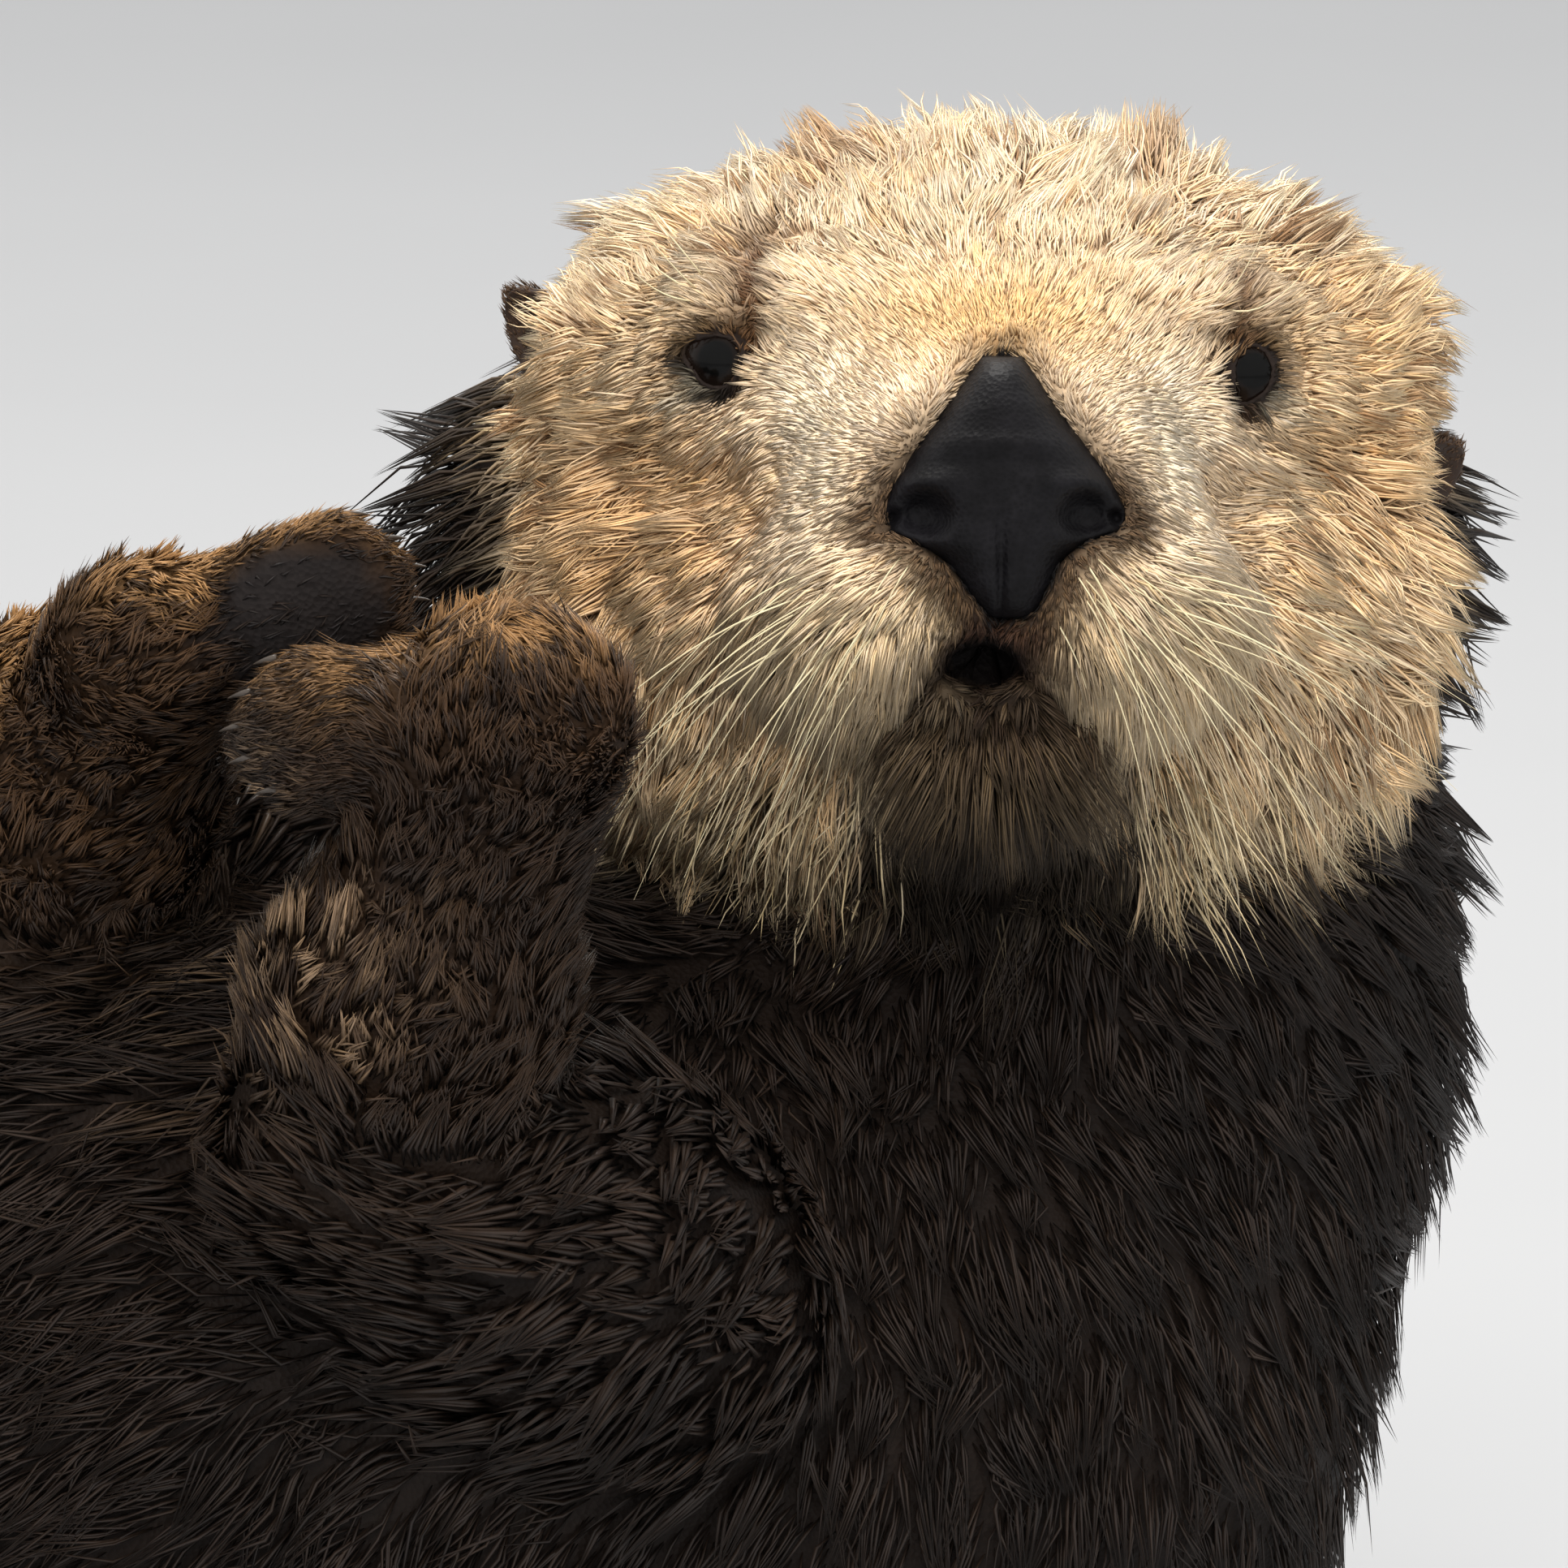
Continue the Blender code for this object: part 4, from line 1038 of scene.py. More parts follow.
    sides = np.exp(-((((x - 0.002) / 0.0155) ** 2 + ((z + 0.0240) / 0.0062) ** 2) ** 2)) * smooth(-0.045, -0.055, y)
    tint(sides * 0.88, (0.070, 0.032, 0.019), (0.014, 0.008, 0.005))
    mouth = mouth_share(MOUTH[0] + (x - MOUTH[0]) * 0.86, MOUTH[1] + (z - MOUTH[1]) * 0.86) * smooth(-0.040, -0.050, y)
    tint(np.clip(mouth * 1.4, 0, 1), (0.008, 0.005, 0.004), (0.004, 0.003, 0.003))
    seat = smooth(-0.0002, -0.0014, nose_gap(q)) * smooth(-0.045, -0.060, y)
    tint(seat, (0.008, 0.007, 0.007), (0.004, 0.004, 0.004))
    return root, tip


BODY_TIP, BODY_ROOT = np.array([0.0200, 0.0125, 0.0088]), np.array([0.0048, 0.0032, 0.0025])
# arm colours: near black for painted shade, mid brown, golden for painted light on tips that face up, and the roots
ARM_SHADED, ARM_MID, ARM_LIT_GOLD, ARM_ROOT = (np.array(c) for c in ((0.020, 0.0115, 0.0070), (0.062, 0.032, 0.0145), (0.500, 0.275, 0.112), (0.012, 0.0066, 0.0038)))
PAD_COLOUR = np.array([0.0125, 0.0100, 0.0095])


def pad_share(p, normal, letter):
    """The bare grainy pad in the palm."""
    arm = ARMS[letter]
    b = p - SHIFT
    rel = b - (arm["wrist"] + (arm["tip"] - arm["wrist"]) * 0.60)
    facing = smooth(0.30, 0.65, normal @ arm["palm"])
    r = np.hypot(rel @ arm["along"] / 0.0185, rel @ arm["across"] / 0.0125)
    return facing * smooth(1.12, 0.90, r + 0.06 * wet_noise(p))


# pale wet locks: partly paler fur, partly painted highlight on the wet coat
PALE_LOCK_GLINT = (0.320, 0.215, 0.130)


def pale_locks_and_glint(p):
    """Where pale wet locks hang, partly their own paler colour and partly painted highlight on wet fur: by the near
    elbow and down the inside of the near forearm.
    """
    q = to_face(p)
    front = smooth(-0.01, -0.05, q[:, 1])
    spot = np.exp(-(((q[:, 0] + 0.122) / 0.017) ** 2) - (((q[:, 2] + 0.088) / 0.017) ** 2))
    strip = np.exp(-(((q[:, 0] + 0.1275) / 0.0065) ** 2) - (((q[:, 2] + 0.058) / 0.015) ** 2))
    return np.clip(spot * 0.8 + strip * 1.2, 0, 1) * front


def colours_at(p, normal, shares):
    q, b = to_face(p), p - SHIFT
    head_root, head_tip = head_colour(q)
    root, tip = shares["head"][:, None] * head_root, shares["head"][:, None] * head_tip
    rest = 1 - shares["head"]
    body_tip = np.tile(BODY_TIP, (len(p), 1))
    # a little greyer and paler along the top of the belly
    grey = smooth(-0.14, -0.24, b[:, 0]) * smooth(0.15, 0.25, b[:, 2]) * (0.5 + 0.5 * broad_noise(p))
    body_tip = body_tip * (1 - 0.6 * grey[:, None]) + np.array([0.150, 0.125, 0.105]) * 0.6 * grey[:, None]
    arm_share = sum(shares[k + "_" + s] for k in ("fore", "paw") for s in ("R", "L"))
    other = np.maximum(rest - arm_share, 0)
    root = root + other[:, None] * BODY_ROOT + arm_share[:, None] * ARM_ROOT
    # painted light: the arm fur's tips turn golden where they face up, and stay mid brown where they face down
    lit = np.clip(smooth(0.25, 0.95, normal[:, 2]) * (0.80 + 0.45 * wet_noise(p)), 0, 1)[:, None]
    arm_tip = ARM_MID * (1 - 0.75 * lit) + ARM_LIT_GOLD * 0.75 * lit
    # painted shade: the near forearm is near black below the wrist, and the arms' fur low down too
    painted_low_shade = np.clip(smooth(-0.030, -0.055, q[:, 2]) * smooth(-0.150, -0.125, q[:, 0]) + 0.8 * smooth(-0.055, -0.085, q[:, 2]), 0, 1)[:, None]
    arm_tip = arm_tip * (1 - 0.85 * painted_low_shade) + ARM_SHADED * 0.85 * painted_low_shade
    # painted shadow: near black in the hollow between the arms
    arm_gap_shade = (np.exp(-(((q[:, 0] + 0.129) / 0.015) ** 2) - (((q[:, 2] + 0.044) / 0.019) ** 2)) * 0.80)[:, None]
    arm_tip = arm_tip * (1 - arm_gap_shade) + np.array([0.0130, 0.0080, 0.0058]) * arm_gap_shade
    tip = tip + other[:, None] * body_tip + arm_share[:, None] * arm_tip
    for letter in ("R", "L"):
        pad = (pad_share(p, normal, letter) * np.clip(shares["paw_" + letter] * 1.4, 0, 1))[:, None]
        root, tip = root * (1 - pad) + PAD_COLOUR * pad, tip * (1 - pad) + PAD_COLOUR * pad
    tone = (1 + 0.10 * tone_noise(p) + 0.07 * broad_noise(p))[:, None]
    return root * tone, tip * tone


# ================================================================ materials
def new_material(name, roughness, specular=0.5, sheen=0.0, coat=0.0):
    made = bpy.data.materials.new(name)
    made.use_nodes = True
    shader = made.node_tree.nodes["Principled BSDF"]
    shader.inputs["Roughness"].default_value = roughness
    shader.inputs["Specular IOR Level"].default_value = specular
    shader.inputs["Sheen Weight"].default_value = sheen
    shader.inputs["Coat Weight"].default_value = coat
    shader.inputs["Coat Roughness"].default_value = 0.04
    return made, made.node_tree, shader


def add_noise(tree, scale, detail=3.0, stretch=None):
    noise = tree.nodes.new("ShaderNodeTexNoise")
    noise.inputs["Scale"].default_value = scale
    noise.inputs["Detail"].default_value = detail
    at = tree.nodes.new("ShaderNodeTexCoord")
    if stretch:
        mapping = tree.nodes.new("ShaderNodeMapping")
        mapping.inputs["Scale"].default_value = stretch
        tree.links.new(at.outputs["Object"], mapping.inputs["Vector"])
        tree.links.new(mapping.outputs["Vector"], noise.inputs["Vector"])
    else:
        tree.links.new(at.outputs["Object"], noise.inputs["Vector"])
    return noise


def scaled_by(tree, colour, factor, low, high):
    """colour multiplied by factor mapped from 0..1 to low..high."""
    span = tree.nodes.new("ShaderNodeMapRange")
    span.inputs["To Min"].default_value = low
    span.inputs["To Max"].default_value = high
    tree.links.new(factor, span.inputs["Value"])
    times = tree.nodes.new("ShaderNodeVectorMath")
    times.operation = "SCALE"
    tree.links.new(colour, times.inputs[0])
    tree.links.new(span.outputs["Result"], times.inputs["Scale"])
    return times.outputs["Vector"]


def bump(tree, shader, height, strength, distance):
    node = tree.nodes.new("ShaderNodeBump")
    node.inputs["Strength"].default_value = strength
    node.inputs["Distance"].default_value = distance
    tree.links.new(height, node.inputs["Height"])
    tree.links.new(node.outputs["Normal"], shader.inputs["Normal"])
    return node


def coat_material(name, roughness, specular, sheen):
    made, tree, shader = new_material(name, roughness, specular, sheen)
    colour = tree.nodes.new("ShaderNodeAttribute")
    colour.attribute_name = "coat_colour"
    noise = add_noise(tree, 900.0, 2.0)
    tree.links.new(scaled_by(tree, colour.outputs["Color"], noise.outputs["Fac"], 0.80, 1.20), shader.inputs["Base Color"])
    return made


MAT_HEAD = coat_material("head_fur", 0.66, 0.22, 0.0)
MAT_BODY = coat_material("body_fur", 0.50, 0.30, 0.0)
MAT_ARM = coat_material("arm_fur", 0.50, 0.34, 0.0)

made, tree, shader = new_material("skin", 0.66, 0.16)
MAT_SKIN = made
colour = tree.nodes.new("ShaderNodeAttribute")
colour.attribute_name = "coat_colour"
fine = add_noise(tree, 1400.0, 3.0)
tree.links.new(scaled_by(tree, colour.outputs["Color"], fine.outputs["Fac"], 0.70, 1.25), shader.inputs["Base Color"])
grain = tree.nodes.new("ShaderNodeTexVoronoi")
grain.inputs["Scale"].default_value = 900.0
at = tree.nodes.new("ShaderNodeTexCoord")
tree.links.new(at.outputs["Object"], grain.inputs["Vector"])
bump(tree, shader, grain.outputs["Distance"], 0.5, 0.0006)

skin.data.materials.clear()
skin.data.materials.append(MAT_SKIN)
skin.data.shade_smooth()


def write_colour(mesh, values):
    layer = mesh.color_attributes.new(name="coat_colour", type="FLOAT_COLOR", domain="POINT")
    rgba = np.ones((len(values), 4), np.float32)
    rgba[:, :3] = np.clip(values, 0, 1)
    layer.data.foreach_set("color", rgba.ravel())
    mesh.color_attributes.active_color = layer


skin_shares = part_shares(surface.co)
skin_root, skin_tip = colours_at(surface.co, surface.normal, skin_shares)
bare = sum(skin_shares["flipper_" + s] for s in ("L", "R"))[:, None]
under = skin_root * 0.75 + skin_tip * 0.25
q_skin = to_face(surface.co)
lid = np.zeros(len(q_skin))
for side in (-1, 1):
    a, u, v = eye_frame(side)
    rel = q_skin - to_face(EYES[side])
    r = np.hypot(rel @ u, rel @ v)
    lid = np.maximum(lid, smooth(0.0078, 0.0058, r) * (rel @ a > -0.004))
lid = (lid * skin_shares["head"])[:, None]
under = under * (1 - lid) + np.array([0.016, 0.011, 0.009]) * lid
under = under * (1 - bare) + np.array([0.034, 0.026, 0.021]) * bare
write_colour(skin.data, under)

# ================================================================ growing the tufts
coat_total = 0


def leaders(place, gap, rng):
    """The tufts chosen to lead locks that far apart, and for each tuft its nearest leader."""
    n = len(place)
    chosen = np.flatnonzero(rng.uniform(0, 1, n) < np.clip(0.9 * surface_share(gap), 0.002, 1.0))
    if len(chosen) < 4:
        chosen = np.arange(n)
    tree = KDTree(len(chosen))
    for i, j in enumerate(chosen):
        tree.insert(place[j], i)
    tree.balance()
    return chosen, np.fromiter((chosen[tree.find(p)[1]] for p in place), np.int64, n)


skin_faces = BVHTree.FromPolygons(surface.co.tolist(), surface.tri.tolist())


def keep_outside(points, need):
    """Lifts each point that is under the skin, or nearer to it than need, out along the skin's normal."""
    for i, (x, y, z) in enumerate(points.tolist()):
        p = Vector((x, y, z))
        at, out, _, _ = skin_faces.find_nearest(p)
        short = need[i] - (p - at).dot(out)
        if short > 0:
            points[i] += np.array(out) * short


def grow(name, place, normal, uv, lie, length, lift, width, clumping, clump_gap, root_colour, tip_colour, material, seed, long_rings=True, sink=0.0012, curl=0.10, droop=0.0, flatten=0.45, wander=0.20, second=None, dark=None, contrast=1.0, sway=0.34):
    """One mesh of closed, thin, pointed tufts. Each is a spindle of three sides that lies along lie, bends down as it goes, and leans to its clump's tip."""
    global coat_total
    n = len(place)
    rng = np.random.default_rng(seed)
    lie = lie - normal * (lie * normal).sum(axis=1, keepdims=True)
    side_way = np.cross(normal, unit(lie))
    lie = unit(unit(lie) + side_way * (wander * rng.normal(size=n) + sway * lie_noise_a(place))[:, None])
    side_way = np.cross(normal, lie)
    # strands gather into fine locks, and the fine locks into larger ones
    fine_leads, fine = leaders(place, clump_gap * 0.30, rng)
    main_leads, main = leaders(place, clump_gap, rng)
    main = main[fine]
    length = length * rng.uniform(0.76, 1.16, n) * rng.uniform(0.80, 1.22, n)[fine] * rng.uniform(0.84, 1.20, n)[main]
    lift = np.radians(lift * (1 + 0.26 * rng.normal(size=n) + 0.22 * lie_noise_b(place)))
    lift = np.clip(lift, math.radians(3), math.radians(80))
    width = width * rng.uniform(0.70, 1.30, n)
    steps = (0.0, 0.36, 0.72, 1.0) if long_rings else (0.0, 0.45, 1.0)
    phase = rng.uniform(0, 2 * math.pi, n)
    points = [place - normal * sink]
    for k in range(1, len(steps)):
        s0, s1 = steps[k - 1], steps[k]
        s = (s0 + s1) / 2
        angle = lift * (1 - flatten * s)
        way = lie * np.cos(angle)[:, None] + normal * np.sin(angle)[:, None]
        way = way + side_way * (curl * np.sin(phase + 3.4 * s))[:, None] + DOWN * (droop * s)
        points.append(points[-1] + unit(way) * (length * (s1 - s0))[:, None])
    # each leans to its leaders' curves
    apart = np.linalg.norm(place - place[main], axis=1)
    pull_main = clumping * rng.uniform(0.30, 1.20, n)[fine] * smooth(2.8, 1.3, apart / np.maximum(clump_gap, 1e-4))
    pull_main = np.clip(pull_main, 0, 0.93)[:, None]
    pull_fine = np.clip(0.35 + 0.55 * clumping, 0, 0.9)[:, None]
    moved = [points[0]]
    for k in range(1, len(steps)):
        w = pull_fine * steps[k] ** 0.9
        p = points[k] * (1 - w) + points[k][fine] * w
        w = pull_main * steps[k] ** 1.35
        moved.append(p * (1 - w) + points[k][main] * w)
    points = moved
    spread = rng.uniform(0.25, 1.30, n)
    for k in range(1, len(steps)):
        keep_outside(points[k], (0.00025 + 0.10 * length * steps[k]) * spread)
    lock = rng.uniform(0, 1, n)
    clump_tone = 1 + contrast * 0.36 * (0.6 * lock[main] + 0.4 * lock[fine] - 0.52)
    if second is not None:
        amount = (np.clip(lock[main] * 1.0 + lock[fine] * 0.8 - 0.75, 0, 1) * second[1])[:, None]
        tip_colour = tip_colour * (1 - amount) + np.array(second[0]) * amount
    if dark is not None:
        amount = (0.85 * smooth(0.10, -0.10, lock[fine] * 0.5 + lock[main] * 0.5 - dark[1]))[:, None]
        tip_colour = tip_colour * (1 - amount) + np.array(dark[0]) * amount
        root_colour = root_colour * (1 - 0.6 * amount) + np.array(dark[0]) * 0.25 * amount
    for p in points[1:]:
        p[:, 2] = np.maximum(p[:, 2], 0.0004)
    tone = (clump_tone * (1 + contrast * rng.uniform(-0.19, 0.19, n)))[:, None]
    warm = 1 + rng.normal(size=(n, 1)) * np.array([0.02, 0.0, -0.05])
    rings = len(steps) - 2
    per = 2 + 3 * rings
    co = np.empty((n, per, 3))
    col = np.empty((n, per, 3))
    tuv = np.empty((n, per, 2))
    co[:, 0] = points[0]
    col[:, 0] = root_colour
    tuv[:, 0] = (0.0, -0.0014)
    fall = (1.0, 0.62) if rings == 2 else (1.0,)
    for r in range(rings):
        centre = points[r + 1]
        w = (width * fall[r])[:, None]
        along = unit(points[r + 2] - points[r])
        across = unit(np.cross(normal, along))
        over = np.cross(along, across)
        co[:, 1 + 3 * r] = centre - across * w * 0.5
        co[:, 2 + 3 * r] = centre + across * w * 0.5
        co[:, 3 + 3 * r] = centre + over * w * 0.38
        s = steps[r + 1]
        shade = root_colour * (1 - s**0.52) + tip_colour * s**0.52
        for j, x in ((1, -0.0010), (2, 0.0010), (3, 0.0)):
            col[:, j + 3 * r] = shade
            tuv[:, j + 3 * r] = (x, -0.0014 + 0.0028 * s)
    co[:, -1] = points[-1]
    col[:, -1] = tip_colour
    tuv[:, -1] = (0.0, 0.0014)
    co[:, :, 2] = np.maximum(co[:, :, 2], 0.0003)
    col = col * tone[:, None] * warm[:, None]
    tuv = np.clip(tuv + np.clip(uv, 0.0016, 0.9984)[:, None, :], 0.0001, 0.9999)
    faces = [(0, 2, 1), (0, 3, 2), (0, 1, 3)]
    for r in range(rings - 1):
        a = 1 + 3 * r
        for i, j in ((0, 1), (1, 2), (2, 0)):
            faces.append((a + i, a + j, a + 3 + j))
            faces.append((a + i, a + 3 + j, a + 3 + i))
    a = 1 + 3 * (rings - 1)
    faces += [(a, a + 1, per - 1), (a + 1, a + 2, per - 1), (a + 2, a, per - 1)]
    faces = np.array(faces)
    limit = 196000 // len(faces)
    # split by place, so that each piece keeps to one area
    order = np.argsort(place[:, 0] + 0.5 * place[:, 2]) if n > limit else np.arange(n)
    made_pieces = []
    for start in range(0, n, limit):
        ids = order[start : start + limit]
        m = len(ids)
        mesh = bpy.data.meshes.new(name)
        index = (faces[None] + (np.arange(m) * per)[:, None, None]).reshape(-1, 3)
        mesh.vertices.add(m * per)
        mesh.vertices.foreach_set("co", co[ids].astype(np.float32).ravel())
        mesh.loops.add(index.size)
        mesh.loops.foreach_set("vertex_index", index.astype(np.int32).ravel())
        mesh.polygons.add(len(index))
        mesh.polygons.foreach_set("loop_start", np.arange(0, index.size, 3, dtype=np.int32))
        mesh.polygons.foreach_set("loop_total", np.full(len(index), 3, np.int32))
        mesh.update(calc_edges=True)
        mesh.validate()
        layer = mesh.uv_layers.new(name="OFBake")
        layer.uv.foreach_set("vector", tuv[ids].reshape(-1, 2)[index.ravel()].astype(np.float32).ravel())
        write_colour(mesh, col[ids].reshape(-1, 3))
        mesh.materials.append(material)
        mesh.shade_smooth()
        piece = bpy.data.objects.new(f"{name}_{len(made_pieces) + 1}", mesh)
        bpy.context.scene.collection.objects.link(piece)
        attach(piece, "root")
        made_pieces.append(piece)
        coat_total += len(index)
    print(name, n, "tufts,", n * len(faces), "triangles in", len(made_pieces), "pieces")
    return made_pieces


local_density = {}


def surface_share(gap):
    """The chance that a tuft leads a lock: the count of tufts that share a lock's area, upside down."""
    return 1 / np.maximum(local_density["now"] * math.pi * (gap * 0.6) ** 2, 1.0)


triangle_shares = part_shares(surface.middle)
middle_q = to_face(surface.middle)
triangle_normal = unit(surface.normal[surface.tri].sum(axis=1))
pad_bare = sum(pad_share(surface.middle, triangle_normal, s) * triangle_shares["paw_" + s] for s in ("R", "L"))
eye_bare = np.zeros(len(middle_q))
for side in (-1, 1):
    a, u, v = eye_frame(side)
    rel = middle_q - to_face(EYES[side])
    x, y = rel @ u, rel @ v
    r = np.hypot(x, y)
    eye_bare = np.maximum(eye_bare, ((r < eye_opening(side, np.arctan2(y, x)) + 0.0001) & (rel @ a > -0.003)) * 1.0)

nose_bare = (nose_gap(middle_q) < -0.0015) & (middle_q[:, 1] < -0.055)
mouth_bare = (mouth_share(middle_q[:, 0], middle_q[:, 2]) > 0.60) & (middle_q[:, 1] < -0.045)
hidden = np.clip(np.maximum.reduce([eye_bare, nose_bare * 1.0, mouth_bare * 1.0]), 0, 1)

is_head = triangle_shares["head"] > 0.5
is_arm = sum(triangle_shares[k + "_" + s] for k in ("fore", "paw") for s in ("R", "L")) > 0.5
muzzle_part = is_head & (middle_q[:, 1] < -0.047)
eye_part = is_head & (eye_distance(middle_q) < 0.0155) & ~muzzle_part
short_part = muzzle_part | eye_part

# ---- the long coat of the head, and the shorter fur of the forehead
middle_length = head_traits(middle_q)[0]
front = smooth(0.035, 0.000, middle_q[:, 1])
nape = middle_q[:, 1] > 0.016
for name, chosen, level, long_rings, seed in (
    ("coat_head", (middle_length >= 0.0165) & ~nape, 0.36e6 + 1.16e6 * front, True, 101),
    ("coat_nape", (middle_length >= 0.0165) & nape, 0.36e6 + 1.16e6 * front, False, 108),
    ("coat_forehead", middle_length < 0.0165, 0.70e6 + 1.25e6 * front, False, 106),
):
    density = np.where(is_head & ~short_part & chosen, level, 0.0) * (1 - hidden) * SHARE
    place, normal, uv = surface.scatter(density, seed)
    q = to_face(place)
    shares = part_shares(place)
    length, lift, width, clump = head_traits(q)
    root_colour, tip_colour = colours_at(place, normal, shares)
    in_front = smooth(0.035, 0.000, q[:, 1])
    local_density["now"] = (0.70e6 + 1.25e6 * in_front if name == "coat_forehead" else 0.36e6 + 1.16e6 * in_front) * SHARE
    gap = 0.0056 + 0.0006 * smooth(0.03, 0.06, q[:, 2]) + 0.0006 * smooth(-0.02, -0.05, q[:, 2]) - 0.0014 * smooth(-0.02, -0.04, q[:, 1])
    # dark locks at random, more of them and darker lower down: partly the coat's own dark locks, partly painted shade
    # under the cheeks
    dark_lock_and_shade_share = 0.13 + 0.52 * smooth(-0.036, -0.068, q[:, 2]) + 0.13 * smooth(0.034, 0.060, np.abs(q[:, 0])) + 0.10 * smooth(0.048, 0.062, q[:, 2])
    dark_lock_and_shade_colour = mix(np.array([0.360, 0.190, 0.082]), np.array([0.120, 0.068, 0.034]), smooth(-0.030, -0.058, q[:, 2])[:, None])
    dark_lock_and_shade_colour = np.minimum(dark_lock_and_shade_colour, tip_colour * 0.80)
    grow(
        name, place, normal, uv, lie_of(place, shares), length, lift, width / SHARE**0.5, clump, gap, root_colour, tip_colour, MAT_HEAD, seed + 100,
        long_rings, 0.0012, 0.24, 0.30, wander=0.26, second=((0.740, 0.460, 0.200), 0.65 * smooth(0.25, 0.55, tip_colour.mean(axis=1))), dark=(dark_lock_and_shade_colour, dark_lock_and_shade_share), contrast=0.85, sway=0.48,
    )

# ---- the short coat of the muzzle and round the eyes
density = np.where(short_part, 2.7e6, 0.0) * (1 - hidden) * SHARE
place, normal, uv = surface.scatter(density, 102)
q = to_face(place)
shares = part_shares(place)
length, lift, width, clump = head_traits(q)
root_colour, tip_colour = colours_at(place, normal, shares)
local_density["now"] = np.full(len(place), 2.7e6 * SHARE)
grow("coat_face", place, normal, uv, lie_of(place, shares), length, lift, width / SHARE**0.5, clump, np.full(len(place), 0.0028), root_colour, tip_colour, MAT_HEAD, 202, False, 0.0006, 0.12, 0.40, wander=0.18, second=((0.800, 0.560, 0.300), 0.25 * smooth(0.25, 0.55, tip_colour.mean(axis=1))), dark=((0.400, 0.270, 0.150), 0.26 * smooth(0.028, 0.042, np.abs(q[:, 0] - 0.003)) * smooth(0.012, -0.008, q[:, 2]) * smooth(-0.040, -0.034, q[:, 2])), contrast=0.5)


# ---- pale wisps from the cheeks and pads that hang over the dark throat
edge_q = middle_q
low_edge = smooth(-0.034, -0.042, edge_q[:, 2]) * smooth(-0.066, -0.058, edge_q[:, 2]) * smooth(0.012, -0.004, edge_q[:, 1]) * smooth(0.019, 0.030, np.abs(edge_q[:, 0] - 0.003))
place, normal, uv = surface.scatter(np.where(is_head, 0.20e6 * low_edge, 0.0) * (1 - hidden) * SHARE, 107)
q = to_face(place)
shares = part_shares(place)
pale = np.tile(np.array([0.720, 0.580, 0.360]), (len(place), 1))
local_density["now"] = np.full(len(place), 0.20e6 * SHARE)
grow(
    "coat_fringe", place, normal, uv, lie_of(place, shares), np.full(len(place), 0.0290), np.full(len(place), 38.0), np.full(len(place), 0.00052), np.full(len(place), 0.45),
    np.full(len(place), 0.0045), pale * 0.30, pale, MAT_HEAD, 207, True, 0.0010, 0.22, 0.45, wander=0.22, dark=((0.300, 0.200, 0.100), 0.25),
)


def region_traits(shares, n):
    total = np.zeros((5, n))
    weight = np.zeros(n)
    for key, values in TRAITS.items():
        names = [key] if key in ("body", "tail") else [key + "_R", key + "_L"]
        share = sum(shares[k] for k in names)
        total += np.array(values)[:, None] * share
        weight += share
    return total / np.maximum(weight, 1e-6)


def body_traits(place, shares):
    b = place - SHIFT
    length, lift, width, clump, gap = region_traits(shares, len(place))
    ruff = smooth(-0.10, -0.03, b[:, 0]) * shares["body"]
    lift = lift + 9 * ruff * smooth(0.12, 0.24, b[:, 2]) + 6 * ruff
    length = length * (1 - 0.36 * ruff)
    near = smooth(-0.24, -0.16, b[:, 0]) * shares["body"]
    width = width * (1 - 0.46 * near) * (1 - 0.22 * smooth(-0.46, -0.24, b[:, 0]) * (1 - near) * shares["body"])
    clump = np.minimum(clump + 0.10 * near, 0.92)
    gap = gap * (1 - 0.28 * near)
    under = smooth(0.030, 0.004, b[:, 2])
    lift = lift * (1 - 0.75 * under)
    length = length * (1 - 0.2 * under)
    return length, lift, width, clump, gap


# ---- forearms and paws
density = np.where(is_arm, 0.95e6, 0.0) * np.clip(1 - pad_bare, 0, 1)
density *= 1 + 0.9 * sum(triangle_shares["paw_" + s] for s in ("R", "L"))
density *= SHARE
place, normal, uv = surface.scatter(density, 103)
shares = part_shares(place)
length, lift, width, clump, gap = body_traits(place, shares)
root_colour, tip_colour = colours_at(place, normal, shares)
local_density["now"] = np.full(len(place), 1.1e6 * SHARE)
grow("coat_arms", place, normal, uv, lie_of(place, shares), length, lift, width / SHARE**0.5, clump, gap, root_colour, tip_colour, MAT_ARM, 203, False, 0.0008, 0.24, 0.15, wander=0.38, second=(PALE_LOCK_GLINT, pale_locks_and_glint(place)), dark=((0.018, 0.010, 0.006), 0.38), contrast=1.2)

# ---- neck, ruff and shoulders, seen close: long wet spikes
b_middle = surface.middle - SHIFT
rest = ~is_head & ~is_arm
collar = rest & (b_middle[:, 0] > -0.21)


def collar_level(b):
    """Tufts per square metre of the neck and chest: closest round the head and on top."""
    return 0.080e6 + 0.17e6 * smooth(0.04, 0.14, b[:, 2]) + 0.15e6 * smooth(0.15, 0.21, b[:, 2]) * smooth(-0.12, -0.06, b[:, 0])


density = np.where(collar, collar_level(b_middle), 0.0) * SHARE
place, normal, uv = surface.scatter(density, 104)
shares = part_shares(place)
length, lift, width, clump, gap = body_traits(place, shares)
root_colour, tip_colour = colours_at(place, normal, shares)
local_density["now"] = collar_level(place - SHIFT) * SHARE
grow("coat_neck", place, normal, uv, lie_of(place, shares), length, lift, width / SHARE**0.5, clump, gap, root_colour, tip_colour, MAT_BODY, 204, False, 0.0012, 0.20, 0.25, wander=0.24, second=(PALE_LOCK_GLINT, pale_locks_and_glint(place) * 0.8), contrast=1.7)

